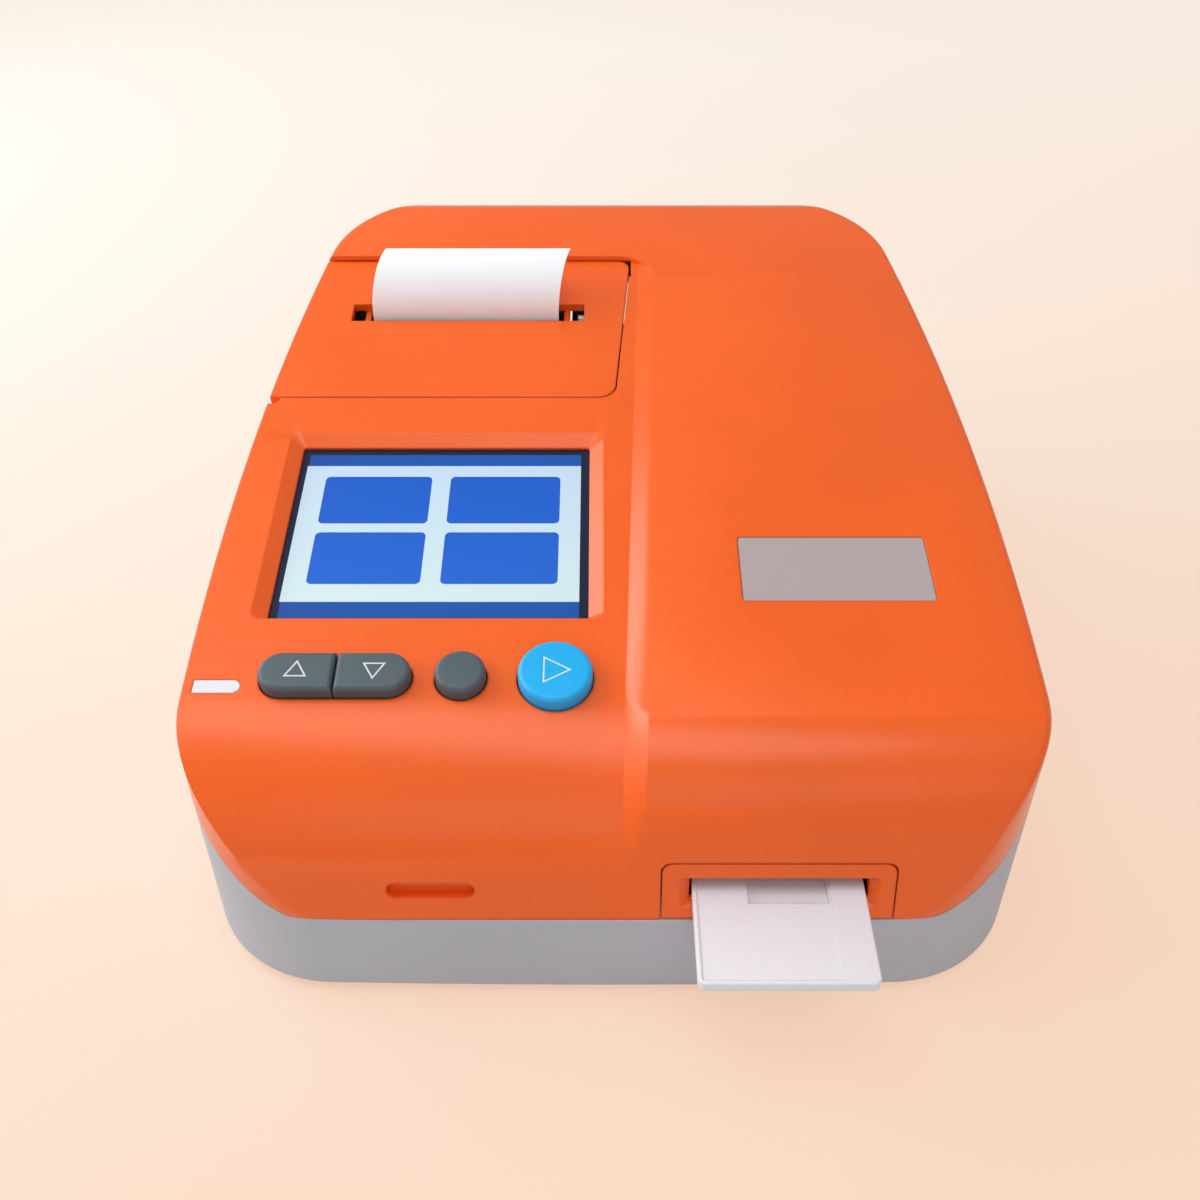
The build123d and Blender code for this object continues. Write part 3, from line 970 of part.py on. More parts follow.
TRAY_RIGHT = TRAY_LEFT + TRAY_WIDTH
TRAY_BACK = TRAY_LENGTH - TRAY_OUT
TRAY_LEDGE = 0.25           # the strip to the right of the pocket stands this much higher
LEDGE_X = POCKET_LEFT + POCKET_WIDTH + 0.5
RACK_PITCH = 2 * pi * PINION_RADIUS / PINION_TEETH
RACK_START, RACK_END = 7.0, TRAY_BACK - 5.0
RACK_TEETH = int((RACK_END - RACK_START) / RACK_PITCH)
with BuildPart() as tray:
    box_between(TRAY_LEFT, TRAY_RIGHT, -TRAY_OUT, TRAY_BACK, TRAY_TOP - TRAY_THICKNESS, TRAY_TOP)
    fillet(tray.edges().filter_by(Axis.Z).sort_by(Axis.Y)[0:2], TRAY_CORNER)
    fillet(tray.faces().sort_by(Axis.Z)[-1].edges().sort_by(Axis.Y)[0:3], 0.5)
    cut_between(TRAY_LEFT + 1, LEDGE_X, -TRAY_OUT + 1, TRAY_BACK + 1, TRAY_TOP - TRAY_LEDGE, TRAY_TOP + 1)
    pocket = -TRAY_OUT + POCKET_BACK_OF_FRONT
    cut_between(POCKET_LEFT, POCKET_LEFT + POCKET_WIDTH, pocket, pocket + POCKET_LENGTH,
                TRAY_TOP - TRAY_LEDGE - POCKET_DEPTH, TRAY_TOP + 1)
    with BuildSketch(Plane.XY.offset(TRAY_TOP + 1)):
        with Locations((TRAY_LEFT, FRONT + (RACK_START + RACK_END) / 2)):
            with GridLocations(1, RACK_PITCH, 1, RACK_TEETH):
                Rectangle(2.0, RACK_PITCH / 2)
    extrude(amount=-TRAY_THICKNESS - 2, mode=Mode.SUBTRACT)

GUIDE_TOP = TRAY_TOP - TRAY_THICKNESS - RUNNING
GUIDE_THICKNESS = 2.0
GUIDE_BOTTOM = GUIDE_TOP - GUIDE_THICKNESS
GUIDE_DEPTHS = (9.5, 140.0)
RAIL_WIDTH = 2.3
RAIL_TOP = TRAY_TOP + RUNNING + 1.2
PINION_X = TRAY_LEFT - RUNNING - PINION_RADIUS
GUIDE_LEFT = PINION_X - 9.5
RAIL_LEFT, RAIL_RIGHT = TRAY_LEFT - RUNNING, TRAY_RIGHT + RUNNING
PINION_ROOM = PINION_RADIUS + 1.5
GUIDE_LEGS = ((PINION_X - 3, 17.0), (RAIL_RIGHT - 4, 17.0), (PINION_X - 3, 131.0), (RAIL_RIGHT - 4, 131.0))
CHASSIS_TOP = CHASSIS_HEIGHT + CHASSIS_THICKNESS
with BuildPart() as tray_guide:
    box_between(GUIDE_LEFT, RAIL_RIGHT + RAIL_WIDTH, *GUIDE_DEPTHS, GUIDE_BOTTOM, GUIDE_TOP)
    box_between(RAIL_RIGHT, RAIL_RIGHT + RAIL_WIDTH, *GUIDE_DEPTHS, GUIDE_TOP - 0.5, RAIL_TOP)
    box_between(RAIL_RIGHT - 1.6, RAIL_RIGHT + 0.5, *GUIDE_DEPTHS, TRAY_TOP + RUNNING, RAIL_TOP)
    box_between(RAIL_LEFT - RAIL_WIDTH, RAIL_LEFT, *GUIDE_DEPTHS, GUIDE_TOP - 0.5, RAIL_TOP)
    box_between(RAIL_LEFT - 0.5, RAIL_LEFT + 1.6, *GUIDE_DEPTHS, TRAY_TOP + RUNNING, RAIL_TOP)
    cut_between(RAIL_LEFT - RAIL_WIDTH - 1, RAIL_LEFT + 3, PINION_DEPTH - PINION_ROOM, PINION_DEPTH + PINION_ROOM,
                GUIDE_TOP, RAIL_TOP + 1)
    for x, depth in GUIDE_LEGS:
        extrude(round_outline(Plane.XY.offset(CHASSIS_TOP), x, FRONT + depth, POST_RADIUS),
                amount=GUIDE_BOTTOM - CHASSIS_TOP + 0.5)
    extrude(round_outline(Plane.XY.offset(GUIDE_BOTTOM - 1), PINION_X, FRONT + PINION_DEPTH,
                          SHAFT_RADIUS + SHAFT_PLAY), amount=GUIDE_THICKNESS + 2, mode=Mode.SUBTRACT)

TRAY_MOTOR_RADIUS = 8.5
TRAY_MOTOR_LENGTH = 14.0
with BuildPart() as tray_motor:
    extrude(round_outline(Plane.XY.offset(GUIDE_BOTTOM), PINION_X, FRONT + PINION_DEPTH, TRAY_MOTOR_RADIUS),
            amount=-TRAY_MOTOR_LENGTH)
    fillet(tray_motor.faces().sort_by(Axis.Z)[0].edges(), 0.8)
    extrude(round_outline(Plane.XY.offset(GUIDE_BOTTOM), PINION_X, FRONT + PINION_DEPTH,
                          SHAFT_RADIUS + SHAFT_PLAY), amount=-6, mode=Mode.SUBTRACT)

with BuildPart() as tray_pinion:
    pinion_plane = Plane(origin=(PINION_X, FRONT + PINION_DEPTH, GUIDE_TOP + RUNNING))
    extrude(spur(pinion_plane, PINION_RADIUS, PINION_TEETH, 1.0, 0.8), amount=PINION_WIDTH)
    extrude(round_outline(Plane.XY.offset(GUIDE_BOTTOM - 5), PINION_X, FRONT + PINION_DEPTH, SHAFT_RADIUS),
            amount=GUIDE_TOP + RUNNING + PINION_WIDTH - GUIDE_BOTTOM + 5)

# ---------------------------------------------------------------- optics over the drawer
OPTICS_X = (TRAY_LEFT + TRAY_RIGHT) / 2 + 2.0
OPTICS_HALF = 16.0
OPTICS_WALL = 2.0
OPTICS_D = (OPTICS_FRONT + OPTICS_BACK) / 2
with BuildPart() as optics_housing:
    box_between(OPTICS_X - OPTICS_HALF, OPTICS_X + OPTICS_HALF, OPTICS_FRONT, OPTICS_BACK, OPTICS_LOW, OPTICS_HIGH)
    cut_between(OPTICS_X - OPTICS_HALF + OPTICS_WALL, OPTICS_X + OPTICS_HALF - OPTICS_WALL,
                OPTICS_FRONT + OPTICS_WALL, OPTICS_BACK - OPTICS_WALL, OPTICS_LOW + OPTICS_WALL, OPTICS_HIGH + 1)
    box_between(RAIL_LEFT - RAIL_WIDTH, RAIL_RIGHT + RAIL_WIDTH, OPTICS_FRONT, OPTICS_BACK, OPTICS_LOW,
                OPTICS_LOW + OPTICS_WALL)
    for x0 in (RAIL_LEFT - RAIL_WIDTH, RAIL_RIGHT):
        for d0 in (OPTICS_FRONT + 4, OPTICS_BACK - 10):
            box_between(x0, x0 + RAIL_WIDTH, d0, d0 + 6, RAIL_TOP, OPTICS_LOW + 0.5)
    extrude(round_outline(Plane.XY.offset(OPTICS_LOW - 1), OPTICS_X, FRONT + OPTICS_D, LENS_RADIUS + FIT / 2),
            amount=OPTICS_WALL + 2, mode=Mode.SUBTRACT)
    with BuildSketch(Plane.XZ.offset(-(FRONT + OPTICS_FRONT + 5))):
        with Locations((OPTICS_X, (OPTICS_LOW + OPTICS_HIGH) / 2)):
            Circle(3.0 + FIT / 2)
    extrude(amount=8, mode=Mode.SUBTRACT)

with BuildPart() as optics_lens:
    extrude(round_outline(Plane.XY.offset(OPTICS_LOW - 1.5), OPTICS_X, FRONT + OPTICS_D, LENS_RADIUS),
            amount=OPTICS_WALL + 2.5)
    fillet(optics_lens.faces().sort_by(Axis.Z)[0].edges(), 1.0)

with BuildPart() as test_lamp:
    with BuildSketch(Plane.XZ.offset(-(FRONT + OPTICS_FRONT + 4))):
        with Locations((OPTICS_X, (OPTICS_LOW + OPTICS_HIGH) / 2)):
            Circle(3.0)
    extrude(amount=14)
    fillet(test_lamp.faces().sort_by(Axis.Y)[-1].edges(), 1.5)

with BuildPart() as detector_board:
    box_between(OPTICS_X - OPTICS_HALF, OPTICS_X + OPTICS_HALF, OPTICS_FRONT, OPTICS_BACK, OPTICS_HIGH,
                OPTICS_HIGH + BOARD_THICKNESS)

with BuildPart() as light_sensor:
    extrude(round_outline(Plane.XY.offset(OPTICS_HIGH), OPTICS_X, FRONT + OPTICS_D, 4.5), amount=-5)
    fillet(light_sensor.faces().sort_by(Axis.Z)[0].edges(), 0.6)

# ---------------------------------------------------------------- chassis and boards
with BuildPart() as chassis_plate:
    box_between(-CHASSIS_HALF, CHASSIS_HALF, *CHASSIS_DEPTHS, CHASSIS_HEIGHT, CHASSIS_TOP)
    box_between(-CHASSIS_HALF - 11, -CHASSIS_HALF + 1, CHEEK_FRONT - 4, CHEEK_BACK + 4, CHASSIS_HEIGHT, CHASSIS_TOP)
    fillet(chassis_plate.edges().filter_by(Axis.Z), 3.0)
    for x, depth in CASE_SCREW_PLACES:
        extrude(round_outline(Plane.XY.offset(CHASSIS_HEIGHT - 1), x, FRONT + depth, CASE_BOSS_RADIUS + 1.0),
                amount=CHASSIS_THICKNESS + 2, mode=Mode.SUBTRACT)
    for x, depth in CHASSIS_POSTS:
        extrude(round_outline(Plane.XY.offset(CHASSIS_HEIGHT - 1), x, FRONT + depth, SMALL_SCREW + SHAFT_PLAY),
                amount=CHASSIS_THICKNESS + 2, mode=Mode.SUBTRACT)

with BuildPart() as chassis_screws:
    for x, depth in CHASSIS_POSTS:
        extrude(round_outline(Plane.XY.offset(CHASSIS_TOP), x, FRONT + depth, 2.5), amount=1.6)
        extrude(round_outline(Plane.XY.offset(CHASSIS_TOP + 0.5), x, FRONT + depth, SMALL_SCREW),
                amount=-CHASSIS_THICKNESS - 5.5)

MAIN_BOARD = (-68.0, -4.0, 62.0, 211.0)
POWER_BOARD = (14.0, 66.0, 152.0, 210.0)
BOARD_INSET = 4.0


def board_corners(board):
    return [(x, d) for x in (board[0] + BOARD_INSET, board[1] - BOARD_INSET)
            for d in (board[2] + BOARD_INSET, board[3] - BOARD_INSET)]


BOARD_SUPPORTS = board_corners(MAIN_BOARD) + board_corners(POWER_BOARD)
FRAME_LEGS = [(x, d) for x in (CHEEK_LEFT + 4, CHEEK_RIGHT - 4) for d in (CHEEK_FRONT + 5, CHEEK_BACK - 5)]
with BuildPart() as board_standoffs:
    for x, depth in BOARD_SUPPORTS:
        with BuildSketch(Plane.XY.offset(CHASSIS_TOP)):
            with Locations((x, FRONT + depth)):
                RegularPolygon(2.9, 6)
                Circle(SMALL_SCREW + FIT / 2, mode=Mode.SUBTRACT)
        extrude(amount=BOARD_HEIGHT - CHASSIS_TOP)


def circuit_board(sides):
    with BuildPart() as board:
        box_between(*sides, BOARD_HEIGHT, BOARD_HEIGHT + BOARD_THICKNESS)
        fillet(board.edges().filter_by(Axis.Z), 1.5)
        for x, depth in board_corners(sides):
            extrude(round_outline(Plane.XY.offset(BOARD_HEIGHT - 1), x, FRONT + depth, SMALL_SCREW + SHAFT_PLAY),
                    amount=BOARD_THICKNESS + 2, mode=Mode.SUBTRACT)
        for x, depth in FRAME_LEGS:
            extrude(round_outline(Plane.XY.offset(BOARD_HEIGHT - 1), x, FRONT + depth, 3.4),
                    amount=BOARD_THICKNESS + 2, mode=Mode.SUBTRACT)
    return board.part


BOARD_TOP = BOARD_HEIGHT + BOARD_THICKNESS
with BuildPart() as main_board:
    add(circuit_board(MAIN_BOARD))

with BuildPart() as power_board:
    add(circuit_board(POWER_BOARD))

with BuildPart() as board_screws:
    for x, depth in BOARD_SUPPORTS:
        extrude(round_outline(Plane.XY.offset(BOARD_TOP), x, FRONT + depth, 2.4), amount=1.5)
        extrude(round_outline(Plane.XY.offset(BOARD_TOP + 0.5), x, FRONT + depth, SMALL_SCREW),
                amount=-BOARD_THICKNESS - 4.0)

# chips, cans and connectors: left, front, width, depth, height
MAIN_CHIPS = ((-54, 80, 16, 16, 1.6), (-30, 82, 12, 9, 1.4), (-56, 106, 24, 20, 3.0), (-24, 128, 9, 9, 1.2),
              (-60, 152, 14, 10, 1.5), (-40, 168, 20, 7, 3.4), (-64, 186, 8, 14, 3.4), (-34, 64.5, 18, 5, 5.0),
              (-12, 100, 6, 18, 5.5))
with BuildPart() as main_board_chips:
    for x, depth, wide, long, high in MAIN_CHIPS:
        box_between(x, x + wide, depth, depth + long, BOARD_TOP, BOARD_TOP + high)

with BuildPart() as power_parts:
    box_between(24, 46, 168, 188, BOARD_TOP, BOARD_TOP + 18)
    for x, depth in ((54, 172), (54, 184), (26, 199)):
        extrude(round_outline(Plane.XY.offset(BOARD_TOP), x, FRONT + depth, 4.0), amount=14)
    box_between(38, 58, 196, 202, BOARD_TOP, BOARD_TOP + 8)

CELL_PLACE = (-34.0, 148.0)
CELL_RADIUS = 10.0
CELL_THICKNESS = 3.2
CELL_SEAT = BOARD_TOP + 1.2
with BuildPart() as cell_holder:
    box_between(CELL_PLACE[0] - 12, CELL_PLACE[0] + 12, CELL_PLACE[1] - 8, CELL_PLACE[1] + 8, BOARD_TOP, CELL_SEAT)
    for side in (-1, 1):
        box_between(CELL_PLACE[0] + side * 11.2 - 0.8, CELL_PLACE[0] + side * 11.2 + 0.8, CELL_PLACE[1] - 8,
                    CELL_PLACE[1] + 8, BOARD_TOP, CELL_SEAT + CELL_THICKNESS)

with BuildPart() as coin_cell:
    extrude(round_outline(Plane.XY.offset(CELL_SEAT), CELL_PLACE[0], FRONT + CELL_PLACE[1], CELL_RADIUS),
            amount=CELL_THICKNESS)
    fillet(coin_cell.edges(), 0.4)

with BuildPart() as speaker:
    extrude(round_outline(Plane.XY.offset(UNDERSIDE + WALL), SPEAKER_PLACE[0], FRONT + SPEAKER_PLACE[1],
                          SPEAKER_RADIUS), amount=3.0)
    extrude(round_outline(Plane.XY.offset(UNDERSIDE + WALL + 2.5), SPEAKER_PLACE[0], FRONT + SPEAKER_PLACE[1],
                          SPEAKER_RADIUS * 0.55), amount=3.5)

# ---------------------------------------------------------------- back wall connectors and switch
PORT_FACE = REAR_PANEL_FACE - 0.2


def port_shell(x, wide, high, deep):
    box_between(x - wide / 2, x + wide / 2, PORT_FACE - deep, PORT_FACE, PORT_HEIGHT - high / 2,
                PORT_HEIGHT + high / 2)


with BuildPart() as power_inlet:
    port_shell(INLET_X, 10.0, 12.0, 14.0)
    with BuildSketch(Plane.XZ.offset(-(FRONT + PORT_FACE + 1))):
        with Locations((INLET_X, PORT_HEIGHT)):
            Circle(3.2)
            Circle(1.0, mode=Mode.SUBTRACT)
    extrude(amount=10, mode=Mode.SUBTRACT)

with BuildPart() as serial_port:
    port_shell(SERIAL_X, 26.0, 9.0, 12.0)
    with BuildSketch(Plane.XZ.offset(-(FRONT + PORT_FACE + 1))):
        with Locations((SERIAL_X, PORT_HEIGHT)):
            Trapezoid(19.0, 7.0, 80, rotation=180)
    extrude(amount=1.8, mode=Mode.SUBTRACT)

with BuildPart() as usb_port:
    port_shell(USB_X, 14.0, 7.5, 15.0)
    cut_between(USB_X - 6.3, USB_X + 6.3, PORT_FACE - 12, PORT_FACE + 1, PORT_HEIGHT - 2.6, PORT_HEIGHT + 2.6)
    box_between(USB_X - 5.4, USB_X + 5.4, PORT_FACE - 12.5, PORT_FACE - 1.5, PORT_HEIGHT + 0.2, PORT_HEIGHT + 2.0)

ROCKER_HALF = 8.2
ROCKER_PROUD = 0.6
ROCKER_PIN_RADIUS = 0.9
ROCKER_HIGH = 10.0
ROCKER_PIVOT = PORT_FACE - 5.0
with BuildPart() as power_switch:
    port_shell(SWITCH_X, 21.0, 14.6, 15.0)
    cut_between(SWITCH_X - ROCKER_HALF - RUNNING, SWITCH_X + ROCKER_HALF + RUNNING, PORT_FACE - 11.5, PORT_FACE + 1,
                PORT_HEIGHT - ROCKER_HIGH / 2 - RUNNING, PORT_HEIGHT + ROCKER_HIGH / 2 + RUNNING)
    extrude(round_outline(Plane.XY.offset(PORT_HEIGHT - ROCKER_HIGH / 2 - 1.5), SWITCH_X, FRONT + ROCKER_PIVOT,
                          ROCKER_PIN_RADIUS + SHAFT_PLAY), amount=ROCKER_HIGH + 3.0, mode=Mode.SUBTRACT)

with BuildPart() as power_rocker:
    lean = tan(radians(ROCKER_ANGLE))
    rise = PORT_FACE - ROCKER_PIVOT + ROCKER_PROUD
    peak = (rise + ROCKER_HALF * lean) / (1 + lean * lean)
    x, y = SWITCH_X, FRONT + ROCKER_PIVOT
    with BuildSketch(Plane.XY.offset(PORT_HEIGHT - ROCKER_HIGH / 2)):
        with BuildLine():
            Polyline((x - ROCKER_HALF, y - 1.2), (x + ROCKER_HALF, y - 1.2), (x + ROCKER_HALF, y),
                     (x + ROCKER_HALF - peak * lean, y + peak), (x, y + rise), (x - ROCKER_HALF, y + rise),
                     close=True)
        make_face()
    extrude(amount=ROCKER_HIGH)
    extrude(round_outline(Plane.XY.offset(PORT_HEIGHT - ROCKER_HIGH / 2 - 1.2), x, y, ROCKER_PIN_RADIUS),
            amount=ROCKER_HIGH + 2.4)

# ---------------------------------------------------------------- feet and case screws
with BuildPart() as rubber_feet:
    for x, depth in FOOT_PLACES:
        extrude(round_outline(Plane.XY, x, FRONT + depth, FOOT_RADIUS), amount=UNDERSIDE + FOOT_SINK)
    fillet(rubber_feet.faces().group_by(Axis.Z)[0].edges(), 0.5)

with BuildPart() as case_screws:
    for x, depth in CASE_SCREW_PLACES:
        head = UNDERSIDE - 1 + CASE_SCREW_SINK
        extrude(round_outline(Plane.XY.offset(head), x, FRONT + depth, CASE_SCREW_RADIUS + 1.2), amount=-2.2)
        extrude(round_outline(Plane.XY.offset(head - 1), x, FRONT + depth, CASE_SCREW_RADIUS),
                amount=CASE_BOSS_HEIGHT + 12 - head + 1)

# ---------------------------------------------------------------- every piece, one file each
PIECES = {
    "base_tub": base_tub, "top_cover": top_cover, "printer_door": printer_door,
    "door_hinge_pins": door_hinge_pins, "tear_bar": tear_bar, "paper_strip": paper_strip,
    "platen_roller": platen_roller, "platen_gear": platen_gear, "feed_gear": feed_gear,
    "feed_shaft": feed_shaft, "feed_motor": feed_motor, "printer_frame": printer_frame,
    "print_head": print_head, "paper_roll": paper_roll, "roll_core": roll_core,
    "roll_spindle": roll_spindle, "paper_web": paper_web,
    "display_glass": display_glass, "display_gasket": display_gasket, "display_module": display_module,
    "display_carrier": display_carrier,
    "key_up": key_up, "key_down": key_down, "key_select": key_select, "key_start": key_start,
    "key_switches": key_switches, "key_board": key_board, "key_board_screws": key_board_screws,
    "status_light": status_light, "light_board": light_board, "rating_plate": rating_plate,
    "tray_bezel": tray_bezel, "tray": tray, "tray_guide": tray_guide, "tray_motor": tray_motor,
    "tray_pinion": tray_pinion,
    "optics_housing": optics_housing, "optics_lens": optics_lens, "test_lamp": test_lamp,
    "detector_board": detector_board, "light_sensor": light_sensor,
    "chassis_plate": chassis_plate, "chassis_screws": chassis_screws, "board_standoffs": board_standoffs,
    "main_board": main_board, "main_board_chips": main_board_chips, "power_board": power_board,
    "power_parts": power_parts, "board_screws": board_screws, "cell_holder": cell_holder,
    "coin_cell": coin_cell,
    "speaker": speaker, "power_inlet": power_inlet, "serial_port": serial_port, "usb_port": usb_port,
    "power_switch": power_switch, "power_rocker": power_rocker,
    "rubber_feet": rubber_feet, "case_screws": case_screws,
}
for name, piece in PIECES.items():
    piece.part.label = name
    export_step(piece.part, f"parts/{name}.step")
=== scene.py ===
"""Looks of the rapid test reader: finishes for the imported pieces, the screen's picture, the marks on
the keys, and a plain pale stage with the photograph's viewing angle."""

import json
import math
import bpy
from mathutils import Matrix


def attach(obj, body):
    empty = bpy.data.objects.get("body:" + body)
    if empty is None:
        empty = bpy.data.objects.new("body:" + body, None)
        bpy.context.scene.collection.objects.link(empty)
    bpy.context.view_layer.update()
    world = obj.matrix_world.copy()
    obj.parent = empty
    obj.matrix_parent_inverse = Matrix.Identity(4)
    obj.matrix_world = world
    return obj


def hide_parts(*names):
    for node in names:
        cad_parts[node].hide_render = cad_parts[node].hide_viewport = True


bl_info = {
    "name": "Rapid Test Reader",
    "version": (1, 0, 0),
    "blender": (4, 5, 0),
    "location": "View3D > Sidebar > Reader",
    "description": "Dresses the packed model of a bench-top rapid test reader",
    "category": "Object",
}

import bmesh
import bpy
from mathutils import Euler, Matrix, Vector

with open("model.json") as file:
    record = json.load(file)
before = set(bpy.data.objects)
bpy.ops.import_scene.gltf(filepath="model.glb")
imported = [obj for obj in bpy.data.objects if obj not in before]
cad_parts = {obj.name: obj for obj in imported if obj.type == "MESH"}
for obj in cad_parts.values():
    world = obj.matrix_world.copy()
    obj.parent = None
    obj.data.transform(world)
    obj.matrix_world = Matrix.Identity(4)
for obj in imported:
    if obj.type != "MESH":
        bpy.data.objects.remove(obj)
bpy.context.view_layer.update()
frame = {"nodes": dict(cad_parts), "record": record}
MM = 0.001

# ---------------------------------------------------------------- places taken over from the solids
FRONT = -110.364 * MM       # plane of the housing's front at the parting line
LEFT_SLOPE = math.radians(9.5)
LEFT_HEIGHT = 60.8 * MM
KEY_ROW = 41.1 * MM         # height of the keys' centres along the panel
KEY_PROUD = 3.8 * MM
MARK_DEPTH = 0.4 * MM
MARK_LIFT = 0.02 * MM       # gap between a mark and the floor of its groove
MARK_PLAY = 0.06 * MM       # by how much a mark's corners stay short of the groove's
MARK_SHIFT = 0.4 * MM       # the small keys' arrows sit off the row's middle line
MARK_EDGE = 0.02 * MM       # softening of a mark's edges

# panel axes: X to the right, Y up the slope, Z outwards
PANEL = Matrix.Translation((0, FRONT, LEFT_HEIGHT)) @ Matrix.Rotation(LEFT_SLOPE, 4, "X")

# lit screen: sides in mm on the panel, as left, right, low, high
SCREEN_AREA = (-83.9, -8.2, 61.0, 120.6)
SCREEN_FIELD = (-84.2, -8.2, 67.3, 116.2)
SCREEN_TILES = ((-78.4, -49.1, 94.4, 112.0), (-44.0, -13.8, 94.4, 112.0),
                (-78.4, -49.1, 73.2, 91.2), (-44.0, -13.8, 73.2, 91.2))
SCREEN_CORNER = 0.05
TILE_CORNER = 1.4
BARS_FADE = (-86 * MM, -46 * MM)        # the bars' colour changes across this width
FIELD_FADE = (61 * MM, 122 * MM)        # and the field's and the tiles' up this height
SCREEN_GLOW = 0.1

# surface relief
GRAIN = 0.5 * MM
BUMP_DEPTH = 0.05 * MM
FIBRE_DEPTH = 0.04 * MM
COAT_ROUGHNESS = 0.25
STREAK_SCALE = (1, 30, 30)              # brushed metal's streaks run along X

# smoothly shaded copies
SMOOTH_BELOW = math.radians(28)         # edges folded by more than this stay crisp
MERGE_WITHIN = 0.002 * MM
DEGENERATE_BELOW = 0.001 * MM

# stage: lamps as name, place, width and depth, power, colour
LAMPS = (("left_softbox", (-0.60, 0.16, 0.40), (0.75, 0.35), 3.4, (1.0, 0.995, 0.99)),
         ("top_softbox", (-0.1, -0.12, 1.1), (1.2, 0.45), 4.0, (1.0, 0.995, 0.99)),
         ("front_fill", (0.1, -0.95, 0.55), (0.8, 0.5), 0.9, (1.0, 0.99, 0.97)))
LAMP_AIM = Vector((0, 0, 0.05))
WORLD_COLOUR = (1.0, 0.99, 0.985, 1)
WORLD_STRENGTH = 0.45
FLOOR_HALF_SIDE = 4.0
FLOOR_PAINTED_FALLOFF = (-0.16, 0.62)              # painted light: the floor turns paler between these depths, standing in for light falling off towards the camera
FLOOR_GLOW = (0.80, 0.64, 0.55)         # share of its colour that is the same in light and shadow
CAMERA_PLACE = (-0.00292, -0.27936, 0.2746)
CAMERA_TILT = math.radians(49)
CAMERA_LENS = 37.08
CAMERA_SENSOR = 36.0


def linear(red, green, blue):
    """A colour given in 0-255 as the shader's linear values."""
    out = []
    for value in (red, green, blue):
        v = value / 255
        out.append(v / 12.92 if v <= 0.04045 else ((v + 0.055) / 1.055) ** 2.4)
    return (*out, 1.0)


# ---------------------------------------------------------------- shader helpers
def node(tree, kind, inputs=None, **settings):
    """Adds one shader node; an input is a value or another node's output."""
    made = tree.nodes.new(kind)
    for name, value in settings.items():
        setattr(made, name, value)
    for name, value in (inputs or {}).items():
        if isinstance(value, bpy.types.NodeSocket):
            tree.links.new(value, made.inputs[name])
        else:
            made.inputs[name].default_value = value
    return made


def blank_material(name):
    material = bpy.data.materials.new(name)
    material.use_nodes = True
    return material, material.node_tree, material.node_tree.nodes["Principled BSDF"]


def mix_colour(tree, factor, low, high):
    """Colour between low and high; returns the output."""
    mixer = node(tree, "ShaderNodeMix", {0: factor, 6: low, 7: high}, data_type="RGBA")
    return mixer.outputs[2]


def scaled(colour, factor):
    return (*[min(1.0, c * factor) for c in colour[:3]], 1.0)


def moulded(name, colour, roughness, relief=0.12, drift=0.05, edge=0.35 * MM, specular=0.5, coat=0.0):
    """Moulded or painted surface: fine grain, slow drift of tone, softened edges."""
    material, tree, shader = blank_material(name)
    place = node(tree, "ShaderNodeTexCoord").outputs["Object"]
    fine = node(tree, "ShaderNodeTexNoise", {"Vector": place, "Scale": 1 / GRAIN, "Detail": 3.0,
                                             "Roughness": 0.6}).outputs["Fac"]
    broad = node(tree, "ShaderNodeTexNoise", {"Vector": place, "Scale": 22.0, "Detail": 3.0}).outputs["Fac"]
    blend = node(tree, "ShaderNodeMath", {0: fine, 1: broad}, operation="MULTIPLY").outputs[0]
    spread = node(tree, "ShaderNodeMapRange", {"Value": blend, "From Min": 0.12, "From Max": 0.38}).outputs[0]
    tree.links.new(mix_colour(tree, spread, scaled(colour, 1 - drift), scaled(colour, 1 + drift)),
                   shader.inputs["Base Color"])
    rough = node(tree, "ShaderNodeMapRange", {"Value": fine, "From Min": 0.3, "From Max": 0.7,
                                              "To Min": roughness - 0.04, "To Max": roughness + 0.06})
    tree.links.new(rough.outputs[0], shader.inputs["Roughness"])
    soft = node(tree, "ShaderNodeBevel", {"Radius": edge}, samples=4).outputs[0]
    bump = node(tree, "ShaderNodeBump", {"Strength": relief, "Distance": BUMP_DEPTH, "Height": fine,
                                         "Normal": soft})
    tree.links.new(bump.outputs[0], shader.inputs["Normal"])
    shader.inputs["Specular IOR Level"].default_value = specular
    shader.inputs["Coat Weight"].default_value = coat
    shader.inputs["Coat Roughness"].default_value = COAT_ROUGHNESS
    return material


def brushed(name, colour, roughness=0.35):
    """Brushed or drawn metal: streaks along one axis."""
    material, tree, shader = blank_material(name)
    place = node(tree, "ShaderNodeTexCoord").outputs["Object"]
    stretch = node(tree, "ShaderNodeMapping", {"Vector": place, "Scale": STREAK_SCALE}).outputs[0]
    streak = node(tree, "ShaderNodeTexNoise", {"Vector": stretch, "Scale": 90.0, "Detail": 4.0}).outputs["Fac"]
    tree.links.new(mix_colour(tree, streak, scaled(colour, 0.92), scaled(colour, 1.06)),
                   shader.inputs["Base Color"])
    rough = node(tree, "ShaderNodeMapRange", {"Value": streak, "To Min": roughness - 0.06,
                                              "To Max": roughness + 0.1})
    tree.links.new(rough.outputs[0], shader.inputs["Roughness"])
    bump = node(tree, "ShaderNodeBump", {"Strength": 0.05, "Distance": BUMP_DEPTH, "Height": streak})
    tree.links.new(bump.outputs[0], shader.inputs["Normal"])
    shader.inputs["Metallic"].default_value = 0.85
    return material


